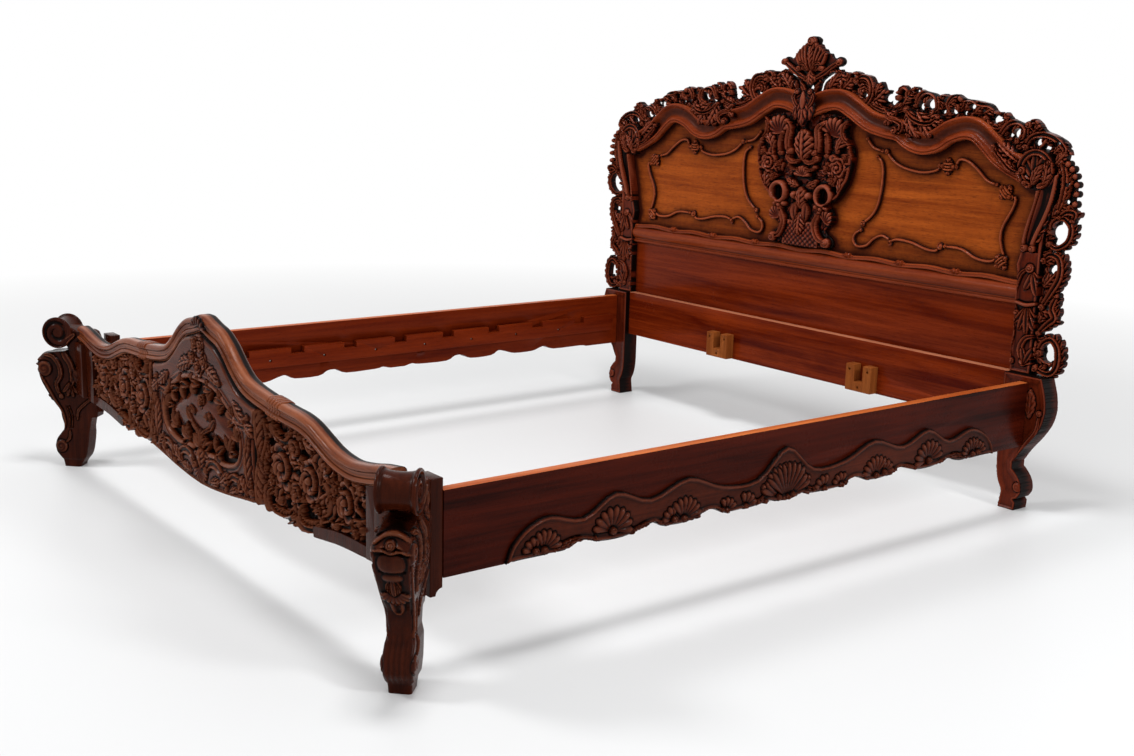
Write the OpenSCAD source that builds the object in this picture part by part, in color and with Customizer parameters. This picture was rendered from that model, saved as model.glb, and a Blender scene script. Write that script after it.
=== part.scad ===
// Rococo bed: carved mahogany bedstead with a pierced arched headboard, a serpentine footboard on canted
// scroll legs and two side rails with carved aprons.
// Units are millimetres. X runs across the bed, Y from foot to head and Z up.
// Outlines are drawn in the front view, with X across and Z up, and are then given their thickness along Y.

/* [Mattress] */
// Width of the mattress that lies between the side rails
mattress_w = 1930; // [1380:10:2000]
// Length of the mattress
mattress_l = 2030; // [1900:10:2100]
// Slack between mattress and each side rail
side_slack = 6; // [3:1:15]
// Slack between mattress and each end of the rails
end_slack = 35; // [20:1:50]

/* [Side rails] */
// Height of the top edge of the side rails above the floor
rail_top_z = 409; // [380:1:430]
// Height of a side rail board
rail_h = 199; // [180:1:220]
// Thickness of a side rail board
rail_t = 30; // [24:1:34]
// Thickness of the carved apron on the outside of a rail
apron_t = 16; // [10:1:22]
// Height of the apron's tallest wave above the rail's bottom edge
apron_h = 150; // [120:1:165]

/* [Slat ledgers] */
// Height of a ledger's top edge below the rail's top edge
ledger_drop = 74; // [60:1:90]
// Height of a ledger
ledger_h = 65; // [55:1:75]
// Thickness of a ledger
ledger_t = 24; // [20:1:30]
// Number of slat notches in a ledger
notch_count = 9; // [7:1:9]
// Width of a slat notch
notch_w = 50; // [40:1:70]
// Depth of a slat notch
notch_d = 23; // [15:1:28]

/* [Headboard] */
// Height of the headboard with its finial
head_h = 1445; // [1380:5:1520]
// Height of the ledge on top of the bottom rail and the legs
ledge_z = 429; // [425:1:440]
// Thickness of the head legs
head_leg_t = 64; // [62:1:70]
// Height of the bottom rail
bottom_rail_h = 174; // [150:1:190]
// How far the bottom rail stands behind the front of the legs
bottom_rail_set = 18; // [12:1:22]
// Thickness of the plain panels
panel_t = 9; // [7:1:10]
// How far the panels' faces stand behind the front of the legs
panel_set = 50; // [46:1:52]
// Width of the arch moulding
arch_w = 72; // [60:1:80]
// Depth of the arch moulding from front to back
arch_t = 50; // [48:1:54]
// Thickness of the pierced crest
crest_t = 30; // [24:1:36]
// How far the cartouche stands out from the panel
cartouche_t = 42; // [34:1:50]
// How far the applied scroll moulding stands out from the panel
scroll_t = 13; // [8:1:16]

/* [Bearer brackets] */
// Distance of each bracket from the middle of the bed
bracket_x = 350; // [300:5:400]
// Width of a bracket
bracket_w = 110; // [90:1:130]
// Height of a bracket
bracket_h = 92; // [80:1:100]
// Depth of a bracket
bracket_t = 36; // [30:1:45]
// Width of the notch that takes a bearer
bearer_w = 38; // [30:1:45]
// Depth of the notch that takes a bearer
bearer_h = 60; // [45:1:66]

/* [Footboard] */
// Height of the footboard's middle
foot_h = 650; // [600:5:700]
// Height of the roll on top of the foot legs
foot_roll_z = 495; // [480:5:510]
// Thickness of the footboard's carved panels
foot_panel_t = 28; // [22:1:34]
// Width of the moulded cap from front to back
foot_cap_t = 46; // [40:1:52]
// Height of the moulded cap
foot_cap_h = 46; // [40:1:52]
// How far the cartouche stands out from the carved panels
foot_cartouche_rise = 16; // [8:1:20]
// Width of a foot leg's front face
foot_leg_w = 64; // [58:1:72]
// Radius of the roll on top of a foot leg
roll_r = 50; // [44:1:54]
// Width of the roll from end to end
roll_w = 88; // [80:1:100]
// Thickness of the block behind a foot leg
post_t = 32; // [26:1:40]

/* [Fastenings] */
// Length of the steel plates in the rail ends and posts
plate_h = 130; // [110:1:150]
// Width of the steel plates
plate_w = 16; // [14:1:18]
// Thickness of the steel plates
plate_t = 3; // [2:0.5:4]
// Diameter of the screws' shanks
screw_d = 4; // [3:0.5:4.5]
// Clearance of parts that fit into each other
fit = 0.3; // [0.2:0.05:0.5]

/* [Hidden] */

// Colours of the finished woods and the steel
carved_wood = "#5a1e12";
panel_wood = "#8a3f18";
plain_wood = "#5c1a0e";
foot_wood = "#4c2417";
raw_wood = "#9a6234";
steel = "#8c8c8a";

// Main lengths and places that follow from the sizes above
rail_l = mattress_l + 2 * end_slack;
rail_in_x = mattress_w / 2 + side_slack;
rail_out_x = rail_in_x + rail_t;
rail_bottom_z = rail_top_z - rail_h;
head_front_y = rail_l;
head_back_y = head_front_y + head_leg_t;
panel_y = head_front_y + panel_set;
bottom_rail_y = head_front_y + bottom_rail_set;
bottom_rail_z = ledge_z - bottom_rail_h;
bottom_rail_t = head_leg_t - bottom_rail_set - 1;
foot_y = -100;

// The carving was drawn for a clear width of 1968 and a head 1016 above its ledge, and stretches with them
drawn_half = 984;
drawn_ledge = 429;
drawn_rise = 1016;
stretch = rail_in_x / drawn_half;
rise = (head_h - ledge_z) / drawn_rise;
function head_pt(p) = [p[0] * stretch, ledge_z + (p[1] - drawn_ledge) * rise];
function head_pts(path) = [for (p = path) head_pt(p)];
// The footboard was drawn with its ends at 440 and its middle at 650, above a rail's bottom edge at 210
drawn_bottom = 210;
drawn_foot_end = 440;
drawn_foot_top = 650;
foot_end_z = foot_roll_z - roll_r - 5;
function foot_z(z) = z < drawn_foot_end
    ? rail_bottom_z + (z - drawn_bottom) * (foot_end_z - rail_bottom_z) / (drawn_foot_end - drawn_bottom)
    : foot_end_z + (z - drawn_foot_end) * (foot_h - foot_end_z) / (drawn_foot_top - drawn_foot_end);
function foot_pt(p) = [p[0] * stretch, foot_z(p[1])];
function foot_pts(path) = [for (p = path) foot_pt(p)];

// Inner edge of stiles and legs, and how far panels run into their grooves
stile_reach = 57;
stile_in_x = rail_in_x - stile_reach;
groove = 8;
mid_rail_z = head_pt([0, 635])[1];
mid_rail_h = 65;
mid_rail_top = mid_rail_z + mid_rail_h;
frame_back_y = head_back_y;
arch_y = frame_back_y - arch_t;
crest_y = arch_y + 12;
tenon_l = 22;
lip_rise = 2.5;
// Reaches past everything, for cutting
far = 2400;

// Foot legs stand on the line of the corner. Distances outwards are from the axis of the roll.
roll_axis_z = foot_roll_z - roll_r;
roll_axis_out = 212;
roll_u = -11;
leg_depth = 128;
nose_u = 40;
nose_r = 27;
nose_z = 328;
nose_half = 40 * foot_leg_w / 64;
corner_turn = -45;
leg_mid_x = rail_out_x - 86;
core_w = 64;
core_back = 10;
core_bottom = 246;
foot_front_reach = (roll_axis_out + nose_u + nose_r + nose_half) * sin(45);
mid_y = (head_back_y - foot_front_reach) / 2;

// Curves

// A point of the smooth curve through b and c, with a before and d after them
function bend(a, b, c, d, t) = 0.5 * (2 * b + (c - a) * t + (2 * a - 5 * b + 4 * c - d) * t * t
    + (3 * b - a - 3 * c + d) * t * t * t);
// An open smooth curve through a path, with n steps between its points
function curve(path, n = 4) = let (m = len(path) - 1)
    [for (i = [0 : m - 1], k = [0 : n - 1])
        bend(path[max(i - 1, 0)], path[i], path[i + 1], path[min(i + 2, m)], k / n), path[m]];
// A closed smooth curve through a ring of points
function ring(path, n = 4) = let (m = len(path))
    [for (i = [0 : m - 1], k = [0 : n - 1])
        bend(path[(i + m - 1) % m], path[i], path[(i + 1) % m], path[(i + 2) % m], k / n)];
function mirrored(path) = [for (i = [len(path) - 1 : -1 : 0]) [-path[i][0], path[i][1]]];
// The unit normal to the left of a path at its point i
function side(path, i) = let (d = path[min(i + 1, len(path) - 1)] - path[max(i - 1, 0)])
    [-d[1], d[0]] / norm(d);
// The path moved to its left by a distance
function beside(path, d) = [for (i = [0 : len(path) - 1]) path[i] + side(path, i) * d];
// The outline of a strand of width w along a path, thinned towards both ends
function strand_outline(path, w, thin = 0.5) = let (m = len(path) - 1,
        half = [for (i = [0 : m]) w / 2 * (thin + (1 - thin) * pow(sin(180 * i / m), 0.5))])
    concat([for (i = [0 : m]) path[i] + side(path, i) * half[i]],
        [for (i = [m : -1 : 0]) path[i] - side(path, i) * half[i]]);
// Half of the outline of a leaf with lobes along both edges, for t from root to tip
function leaf_half(t, w, lobes) = w / 2 * pow(sin(180 * pow(t, 0.8)), 0.8) * (1 - 0.22 * abs(sin(180 * lobes * t)));

// Flat ornaments, drawn in the front view

// A scrolled strand with a round eye at its start and its end
module strand(path, w, eye = 0, eye_end = -1) {
    polygon(strand_outline(curve(path, 3), w));
    translate(path[0])
        circle(r = max(eye, w * 0.45), $fn = 16);
    translate(path[len(path) - 1])
        circle(r = max(eye_end < 0 ? eye : eye_end, w * 0.45), $fn = 16);
}

// An acanthus leaf from its root at p, along the angle a
module leaf(p, a, l, w, lobes = 3) {
    steps = 3 * lobes;
    translate(p)
        rotate(a)
            polygon(concat([for (k = [0 : steps]) [l * k / steps, leaf_half(k / steps, w, lobes)]],
                [for (k = [steps - 1 : -1 : 1]) [l * k / steps, -leaf_half(k / steps, w, lobes)]]));
}

// A rocaille shell: a fan of ribs round p, opening towards the angle a
module shell(p, a, r, ribs = 7, spread = 200) {
    translate(p)
        rotate(a - spread / 2)
            polygon(concat([[0, 0]], [for (k = [0 : 2 * ribs])
                let (q = spread * k / (2 * ribs), s = r * (0.9 + 0.1 * (k % 2))) s * [cos(q), sin(q)]]));
}

// A flower with round petals
module flower(p, r, petals = 5, turn = 0) {
    translate(p)
        rotate(turn) {
            circle(r = r * 0.55, $fn = 16);
            for (k = [0 : petals - 1])
                rotate(360 * k / petals)
                    translate([r * 0.6, 0])
                        circle(r = r * 0.42, $fn = 12);
        }
}

// Rounds the crotches between ornaments the way a gouge leaves them
module gouged(r = 2) {
    offset(r = -r, $fn = 8)
        offset(delta = r)
            children();
}

// Gives a front view drawing its thickness, from y0 back to y1
module slab(y0, y1) {
    translate([0, y1, 0])
        rotate([90, 0, 0])
            linear_extrude(y1 - y0)
                children();
}

// A solid swept along a path of the front view. The profile's points give the place across the path, to its left,
// and the depth along Y. The profile runs clockwise as seen from the start of the path.
module swept(path, profile) {
    n = len(path);
    m = len(profile);
    points = [for (i = [0 : n - 1], q = profile)
        let (p = path[i] + side(path, i) * q[0]) [p[0], q[1], p[1]]];
    walls = [for (i = [0 : n - 2], j = [0 : m - 1])
        let (a = i * m + j, b = i * m + (j + 1) % m) each [[a, b, b + m], [a, b + m, a + m]]];
    polyhedron(concat(points), concat(walls, [[for (j = [m - 1 : -1 : 0]) j]],
        [[for (j = [0 : m - 1]) (n - 1) * m + j]]));
}

module placed() {
    translate([0, -mid_y, 0])
        children();
}

module left() {
    mirror([1, 0, 0])
        children();
}

// Head legs

head_leg_x = stile_in_x;
// Places are given from the inner edge of the leg outwards
hip_outline = [[57, 150], [82, 190], [117, 235], [144, 280], [155, 325], [151, 370], [139, 410]];
function head_leg_outline() = [for (p = concat(
        [[18, 0], [78, 0], [80, 26], [72, 34]],
        curve([[84, 40], [96, 62], [92, 92], [74, 118], [58, 132]], 4),
        curve(hip_outline, 4),
        [[132, ledge_z], [0, ledge_z]],
        curve([[0, 200], [1, 130], [10, 84], [24, 56], [22, 30]], 4)))
    [head_leg_x + p[0], p[1]]];
module head_leg_blank() {
    polygon(head_leg_outline());
}

module head_leg() {
    difference() {
        union() {
            slab(head_front_y, head_back_y)
                head_leg_blank();
            // Raised lip that follows the outline on the front
            slab(head_front_y - lip_rise, head_front_y)
                difference() {
                    intersection() {
                        head_leg_blank();
                        translate([0, 30])
                            square([rail_out_x + 200, rail_bottom_z - 40]);
                    }
                    offset(delta = -7)
                        head_leg_blank();
                }
            // The foot scroll's eye
            translate([head_leg_x + 82, head_back_y, 76])
                rotate([90, 0, 0])
                    cylinder(r = 14, h = head_leg_t + lip_rise, $fn = 32);
        }
        bottom_rail_tenon(fit);
        head_catch_pocket();
    }
}
// Headboard frame

module bottom_rail_tenon(gap = 0) {
    h = bottom_rail_h - 60;
    translate([stile_in_x - 1, bottom_rail_y + bottom_rail_t / 2 - 6 - gap, bottom_rail_z + 30 - gap])
        cube([tenon_l + 1 + gap, 12 + 2 * gap, h + 2 * gap]);
}

module head_bottom_rail() color(plain_wood) placed() {
    difference() {
        union() {
            translate([-stile_in_x, bottom_rail_y, bottom_rail_z])
                cube([2 * stile_in_x, bottom_rail_t, bottom_rail_h]);
            bottom_rail_tenon();
            left()
                bottom_rail_tenon();
        }
        lower_panel_board(fit);
        for (s = [-1, 1])
            translate([s * bracket_x, bottom_rail_y, bracket_z])
                bracket_screw_holes();
    }
}

module lower_panel_board(gap = 0) {
    translate([-stile_in_x - groove - gap, panel_y - gap, ledge_z - groove - gap])
        cube([2 * (stile_in_x + groove + gap), panel_t + 2 * gap, mid_rail_z - ledge_z + 2 * (groove + gap)]);
}

// Cushion moulding of the middle rail, as depth along Y and height
function mid_rail_profile() = concat(
    [[bottom_rail_y + bottom_rail_t, 0], [bottom_rail_y + bottom_rail_t, mid_rail_h], [panel_y - 4, mid_rail_h]],
    curve([[panel_y - 8, mid_rail_h - 1], [panel_y - 22, mid_rail_h - 8], [panel_y - 28, mid_rail_h - 24],
        [panel_y - 24, mid_rail_h - 40], [panel_y - 15, mid_rail_h - 48]], 4),
    [[panel_y - 15, 13]],
    [for (a = [90 : 30 : 270]) [panel_y - 12 + 6 * cos(a), 6.5 + 6 * sin(a)]],
    [[panel_y - 8, 0]]);

module mid_rail_tenon(gap = 0) {
    translate([stile_in_x - 1, panel_y - gap, mid_rail_z + 18 - gap])
        cube([14 + gap, panel_t + 2 * gap, 30 + 2 * gap]);
}

module head_mid_rail() color(carved_wood) placed() {
    difference() {
        union() {
            translate([-stile_in_x, 0, mid_rail_z])
                rotate([90, 0, 90])
                    linear_extrude(2 * stile_in_x)
                        polygon(mid_rail_profile());
            mid_rail_tenon();
            left()
                mid_rail_tenon();
        }
        lower_panel_board(fit);
        upper_panel_board(fit);
    }
}

// Wavy ribbon with knots on top of the middle rail
knot_pitch = 228.5 * stretch;
ribbon_h = 12;
function ribbon_wave(x) = 3 * sin(180 * abs(x) / knot_pitch * 2 - 90);
module head_ribbon() color(carved_wood) placed() {
    steps = 96;
    run = stile_in_x - 6;
    slab(panel_y - 22, panel_y - 0)
        translate([0, mid_rail_top])
            polygon(concat([[run, 0], [-run, 0]],
                [for (k = [0 : steps]) let (x = -run + 2 * run * k / steps) [x, ribbon_h + ribbon_wave(x)]]));
    for (k = [-3 : 3])
        if (k != 0)
            translate([k * knot_pitch, panel_y - 18, mid_rail_top + ribbon_h / 2 + 1])
                rotate([90, 0, 0])
                    cylinder(r = ribbon_h / 2 + 1, h = 12, $fn = 24);
}

// Arch moulding

// The corner spiral, in which the arch ends
corner_eye = head_pt([955, 1048]);
corner_r = 62;
arch_path = concat([[fit / 2, head_pt([0, 1203])[1]]], curve(head_pts([[10, 1203], [40, 1213], [100, 1230], [160, 1231], [220, 1205], [290, 1168],
    [360, 1151], [420, 1142], [470, 1115], [520, 1104], [570, 1114], [620, 1143], [680, 1160], [730, 1153],
    [780, 1118], [820, 1085], [872, 1058], [926, 1038]]), 2));
// Across the moulding from the inner edge: bead, fillet, cove, fillet and bead, then the back with its rebate
function arch_profile() = [for (q = [[-0.5, 0.12], [-0.44, 0.02], [-0.37, 0.02], [-0.31, 0.12],
        [-0.25, 0.16], [-0.05, 0.36], [0.15, 0.38], [0.32, 0.16], [0.36, 0.02], [0.44, 0], [0.5, 0.08]])
    [q[0] * arch_w, arch_y + q[1] * arch_t]];
module arch_frame() {
    rebate_y = panel_y - fit;
    difference() {
        swept(arch_path, concat(arch_profile(), [[arch_w / 2, frame_back_y],
            [-arch_w / 2 + groove + fit, frame_back_y], [-arch_w / 2 + groove + fit, rebate_y],
            [-arch_w / 2, rebate_y]]));
        slab(arch_y - 1, frame_back_y + 1)
            corner_disc(fit);
    }
}
module corner_disc(gap = 0) {
    translate(corner_eye)
        circle(r = corner_r + gap, $fn = 64);
}
module arch_area(gap = 0) {
    outer = beside(arch_path, arch_w / 2 + gap);
    inner = beside(arch_path, -arch_w / 2 - gap);
    polygon(concat(outer, [for (i = [len(inner) - 1 : -1 : 0]) inner[i]]));
}

// Upper panel, which fills the space under the arch and runs into the grooves
stile_edge = head_pts([[950, 830], [968, 930], [985, 1000], [985, 1050]]);
function by_x(path) = [for (i = [len(path) - 1 : -1 : 0]) path[i]];
function upper_panel_half(gap) = concat(
    [[stile_in_x + groove + gap, mid_rail_top - groove - gap],
        [stile_in_x + groove + gap, head_pt([0, 790])[1]]],
    [for (p = stile_edge) p + [gap, 0]],
    by_x([for (p = beside(arch_path, -arch_w / 2 + groove + gap)) if (p[0] > 0) p]));
opening_outline = head_pts([[0, 800], [70, 850], [125, 930], [150, 1010], [140, 1080], [90, 1130], [0, 1150]]);
module upper_panel_board(gap = 0) {
    slab(panel_y - gap, panel_y + panel_t + gap)
        polygon(concat(upper_panel_half(gap), mirrored(upper_panel_half(gap))));
}
module head_upper_panel() color(panel_wood) placed() {
    difference() {
        upper_panel_board();
        slab(panel_y - 1, panel_y + panel_t + 1)
            polygon(ring(concat(opening_outline, mirrored([for (i = [1 : 5]) opening_outline[i]])), 3));
    }
}

// Stiles with the corner spirals

stile_outline = concat([[stile_in_x, ledge_z], [stile_in_x, head_pt([0, 720])[1]]],
    curve(head_pts([[917, 760], [928, 800], [934, 840], [945, 890], [962, 950], [968, 1000]]), 4),
    curve(head_pts([[1036, 1040], [1034, 1000], [1022, 930], [1004, 860], [1000, 780]]), 4),
    [head_pt([1000, drawn_ledge])]);
stile_strands = [
    [head_pts([[932, 470], [922, 500], [930, 550], [926, 590]]), 12, 9],
    [head_pts([[934, 622], [922, 660], [920, 710], [930, 760], [950, 780]]), 12, 11],
    [head_pts([[960, 812], [940, 850], [952, 910], [974, 970], [978, 1010]]), 13, 13],
    [head_pts([[992, 850], [1012, 900], [1030, 970], [1030, 1050], [1000, 1096], [950, 1100], [918, 1080]]), 14, 8]];
module stile_area() {
    difference() {
        polygon(stile_outline);
        arch_area(fit);
    }
    corner_disc();
}
module head_stile() {
    difference() {
        union() {
            slab(arch_y + 12, frame_back_y)
                stile_area();
            slab(arch_y + 2, arch_y + 12)
                intersection() {
                    union()
                        for (s = stile_strands)
                            strand(s[0], s[1], s[2]);
                    stile_area();
                }
            translate([corner_eye[0], arch_y + 12, corner_eye[1]])
                rotate([90, 0, 0])
                    rotate_extrude($fn = 64)
                        polygon([[0, 0], [0, 12], [10, 11], [16, 4], [30, 3], [38, 9], [44, 3], [44, 0]]);
        }
        lower_panel_board(fit);
        mid_rail_tenon(fit);
        upper_panel_board(fit);
        translate([0, arch_y, 0])
            linear_extrude(ledge_z)
                square([rail_out_x * 2, arch_t]);
    }
}

// Side carving outside the stile

side_strands = [
    [head_pts([[1012, 450], [1060, 440], [1086, 470], [1084, 520], [1060, 545], [1030, 530], [1022, 500]]), 20, 12],
    [head_pts([[1012, 560], [1040, 590], [1062, 612], [1050, 640], [1064, 680]]), 20, 9],
    [head_pts([[1014, 640], [1044, 690], [1068, 740], [1060, 790], [1024, 800], [1006, 780]]), 20, 11],
    [head_pts([[1018, 830], [1050, 822], [1084, 846], [1090, 886], [1060, 912], [1028, 896], [1024, 866]]), 18, 9],
    [head_pts([[1090, 905], [1098, 927], [1070, 930], [1046, 912]]), 18, 8],
    [head_pts([[1040, 930], [1052, 980], [1054, 1036], [1036, 1076]]), 18, 6]];
side_beads = [[1092, 955, 11], [1094, 985, 10], [1092, 1012, 10], [1084, 1036, 10], [1072, 1056, 11],
    [1056, 1070, 11]];
side_leaves = [[[1040, 470], 120, 90, 40, 4], [[1020, 590], 60, 70, 42, 3], [[1030, 700], 40, 60, 40, 3],
    [[1020, 770], 25, 66, 36, 3], [[1010, 850], 60, 62, 34, 3], [[1020, 1060], 40, 60, 40, 3],
    [[1024, 480], -30, 66, 40, 3], [[1024, 620], -10, 46, 40, 3]];
module side_area() {
    for (s = side_strands)
        strand(s[0], s[1], s[2]);
    for (b = side_beads)
        translate(head_pt([b[0], b[1]]))
            circle(r = b[2], $fn = 20);
    for (f = side_leaves)
        leaf(head_pt(f[0]), f[1], f[2], f[3], f[4]);
    polygon(head_pts([[996, drawn_ledge + 2], [1044, drawn_ledge + 2], [1040, 500], [1022, 560], [1036, 600],
        [1026, 660], [1036, 720], [1022, 800], [1030, 830], [1050, 910], [1084, 940], [1088, 1010], [1070, 1052],
        [1046, 1078], [996, 1090]]));
}
side_piercings = [[[1052, 492], 17], [[1046, 868], 22], [[1034, 752], 10], [[1036, 640], 8]];
module side_carving() {
    for (layer = [0, 1])
        slab(crest_y + 10 - 10 * layer, crest_y + crest_t - 4)
            difference() {
                gouged()
                    if (layer == 0)
                        side_area();
                    else
                        for (s = side_strands)
                            strand(s[0], s[1] * 0.7, s[2]);
                stile_area_grown(fit);
                arch_area(fit);
                translate([0, ledge_z - far])
                    square([far, far]);
                for (h = side_piercings)
                    translate(head_pt(h[0]))
                        circle(r = h[1], $fn = 20);
            }
}
module stile_area_grown(gap) {
    offset(delta = gap)
        stile_area();
}

// Crest

crest_top = [[40, 1262], [52, 1296], [110, 1326], [150, 1330], [180, 1318], [204, 1326], [240, 1316], [266, 1312],
    [300, 1297], [322, 1292], [336, 1268], [358, 1266], [372, 1246], [386, 1252], [400, 1276], [420, 1283], [440, 1266],
    [462, 1280], [500, 1267], [540, 1260], [560, 1252], [584, 1260], [600, 1252], [632, 1260], [660, 1247], [700, 1243],
    [740, 1237], [764, 1230], [786, 1210], [820, 1211], [840, 1194], [880, 1180], [900, 1182], [922, 1194], [944, 1182],
    [964, 1160], [1000, 1149], [1042, 1127], [1058, 1090]];
crest_strands = [
    [head_pts([[150, 1290], [190, 1312], [230, 1310], [262, 1280], [250, 1245], [222, 1244]]), 20, 11],
    [head_pts([[300, 1215], [350, 1235], [384, 1232], [430, 1226], [470, 1212]]), 16, 8],
    [head_pts([[400, 1246], [408, 1276], [440, 1284], [462, 1262], [452, 1240]]), 17, 8],
    [head_pts([[470, 1262], [520, 1266], [560, 1252], [580, 1226], [560, 1206]]), 17, 7],
    [head_pts([[600, 1196], [620, 1240], [660, 1246], [700, 1238], [726, 1216]]), 17, 8],
    [head_pts([[720, 1236], [764, 1226], [808, 1212], [822, 1184], [800, 1166], [776, 1176]]), 18, 9],
    [head_pts([[828, 1180], [860, 1196], [892, 1178], [892, 1144], [866, 1128]]), 18, 9],
    [head_pts([[900, 1180], [930, 1168], [950, 1150], [990, 1150], [1010, 1120], [990, 1100]]), 18, 9],
    [head_pts([[940, 1120], [980, 1090], [1030, 1100], [1052, 1080]]), 16, 9]];
crest_leaves = [[[120, 1262], 60, 84, 46, 4], [[270, 1236], 38, 110, 46, 4], [[420, 1240], 80, 56, 34, 3],
    [[480, 1170], 20, 110, 52, 4], [[560, 1150], -30, 60, 44, 3], [[640, 1200], 30, 60, 34, 3],
    [[860, 1090], 60, 80, 46, 3], [[900, 1130], 75, 70, 36, 3], [[990, 1110], 30, 70, 40, 3]];
crest_piercings = [[[502, 1226], 14], [[624, 1216], 11], [[654, 1222], 9], [[790, 1192], 11], [[862, 1158], 14],
    [[960, 1126], 13], [[392, 1212], 7], [[352, 1214], 7]];
module crest_area() {
    gouged()
        polygon(concat(curve(head_pts(crest_top), 3), head_pts([[1020, 1030], [870, 1060], [740, 1150], [520, 1104],
            [300, 1165], [100, 1225], [40, 1214]])));
}
module crest_keepout() {
    arch_area(fit);
    stile_area_grown(fit);
    side_area();
    for (h = crest_piercings)
        translate(head_pt(h[0]))
            circle(r = h[1], $fn = 16);
    square([far, head_pt([0, 1075])[1] * 2], center = true);
}
module crest_carving() {
    slab(crest_y + 10, crest_y + crest_t)
        difference() {
            crest_area();
            crest_keepout();
        }
    slab(crest_y, crest_y + 10)
        difference() {
            intersection() {
                crest_area();
                gouged() {
                    for (s = crest_strands)
                        strand(s[0], s[1], s[2]);
                    for (f = crest_leaves)
                        leaf(head_pt(f[0]), f[1], f[2], f[3], f[4]);
                    flower(head_pt([238, 1276]), 34, 6);
                }
            }
            crest_keepout();
        }
}

finial_half = [[40, 1236], [38, 1262], [52, 1284], [84, 1290], [112, 1286], [130, 1300], [130, 1320], [112, 1340],
    [132, 1344], [146, 1356], [140, 1370], [120, 1376], [102, 1372], [92, 1384], [76, 1392], [64, 1404],
    [46, 1408], [34, 1418], [30, 1433], [16, 1443], [0, 1445]];
module crest_finial() color(carved_wood) placed() {
    outline = curve(head_pts(finial_half), 4);
    slab(crest_y - 2, crest_y + crest_t)
        difference() {
            polygon(concat(outline, mirrored(outline)));
            polygon(head_pts([[-22, 1254], [22, 1254], [0, 1286]]));
            arch_area(fit);
            left()
                arch_area(fit);
            crest_area();
            left()
                crest_area();
        }
    for (s = [-1, 1])
        translate([s * 34 * stretch, crest_y - 2, head_pt([0, 1342])[1]])
            rotate([90, 0, 0])
                cylinder(r = 14, h = 8, $fn = 32);
    translate([0, crest_y - 2, head_pt([0, 1428])[1]])
        rotate([90, 0, 0])
            cylinder(r = 15, h = 5, $fn = 32);
}

module keystone_leaf() color(carved_wood) placed() {
    slab(arch_y - 16, arch_y - 0)
        gouged() {
            leaf(head_pt([0, 1150]), 90, 120, 90, 3);
            for (s = [-1, 1])
                translate([s * 30, head_pt([0, 1246])[1]])
                    circle(r = 14, $fn = 24);
        }
}

// Cartouche in the middle of the panel

cartouche_half = [[60, 716], [140, 720], [150, 750], [112, 780], [150, 812], [146, 850], [118, 870], [160, 892],
    [205, 950], [222, 1010], [224, 1060], [206, 1092], [188, 1130], [196, 1170], [150, 1180], [90, 1184], [40, 1176]];
cartouche_strands = [
    [[[150, 738], [126, 742], [112, 776], [132, 822], [110, 846]], 16, 10],
    [[[128, 872], [176, 914], [208, 970], [218, 1030], [206, 1072]], 16, 8],
    [[[206, 1092], [178, 1112], [178, 1150], [200, 1168]], 15, 7],
    [[[60, 860], [84, 850], [110, 860], [148, 890], [142, 932], [104, 944], [72, 920], [70, 890]], 15, 6],
    [[[30, 860], [44, 820], [24, 800]], 14, 10],
    [[[40, 1010], [66, 1040], [48, 1060]], 12, 8]];
cartouche_piercings = [[[108, 898], 21], [[50, 960], 12], [[110, 968], 11], [[66, 1100], 14], [[150, 1060], 12],
    [[44, 880], 9], [[110, 1120], 10], [[94, 1030], 10]];
module cartouche_keepout() {
    arch_area(fit);
    left()
        arch_area(fit);
    for (h = cartouche_piercings, s = [-1, 1])
        translate([s * head_pt(h[0])[0], head_pt(h[0])[1]])
            circle(r = h[1], $fn = 16);
    square([far, (mid_rail_top + ribbon_h + 4) * 2], center = true);
}
module cartouche_half_relief() {
    for (s = cartouche_strands)
        strand(head_pts(s[0]), s[1], s[2]);
    flower(head_pt([164, 1002]), 36, 6);
    flower(head_pt([128, 1076]), 22, 5);
    shell(head_pt([130, 1110]), 75, 60, 7, 150);
    leaf(head_pt([120, 770]), 60, 90, 46, 4);
}
module center_cartouche() color(carved_wood) placed() {
    slab(panel_y - cartouche_t + 14, panel_y)
        difference() {
            gouged()
                polygon(concat(curve(head_pts(cartouche_half), 3), mirrored(curve(head_pts(cartouche_half), 3))));
            cartouche_keepout();
        }
    slab(panel_y - cartouche_t, panel_y - cartouche_t + 14)
        difference() {
            gouged() {
                cartouche_half_relief();
                left()
                    cartouche_half_relief();
                leaf(head_pt([0, 1010]), 90, 110, 80, 4);
                leaf(head_pt([0, 990]), -90, 90, 60, 4);
                leaf(head_pt([0, 800]), 90, 80, 44, 3);
                polygon(head_pts([[-74, 726], [74, 726], [86, 800], [-86, 800]]));
            }
            cartouche_keepout();
        }
}

// Applied scroll moulding, as path, eye at the start and eye at the end
scroll_w = 11;
panel_strands = [
    [[[330, 1050], [352, 1032], [360, 985], [352, 910], [330, 860], [285, 822]], 6, 10],
    [[[280, 800], [256, 785], [250, 762], [268, 744], [308, 750], [340, 776], [372, 790], [400, 782], [410, 770]], 7, 9],
    [[[440, 784], [500, 780], [556, 766], [598, 764], [616, 780]], 5, 12],
    [[[634, 782], [700, 780], [756, 758], [810, 754], [842, 770]], 5, 7],
    [[[856, 800], [842, 835], [850, 872], [878, 925], [884, 955], [868, 958]], 6, 8],
    [[[812, 992], [776, 1002], [738, 1032], [700, 1056], [666, 1060], [652, 1036]], 6, 8],
    [[[592, 1036], [576, 1020], [520, 1011], [450, 1020], [402, 1040], [368, 1070]], 9, 9],
    [[[352, 1070], [312, 1080], [282, 1108]], 6, 5]];
panel_clasps = [[846, 972, 45], [622, 1036, 90], [852, 756, -50]];
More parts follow.
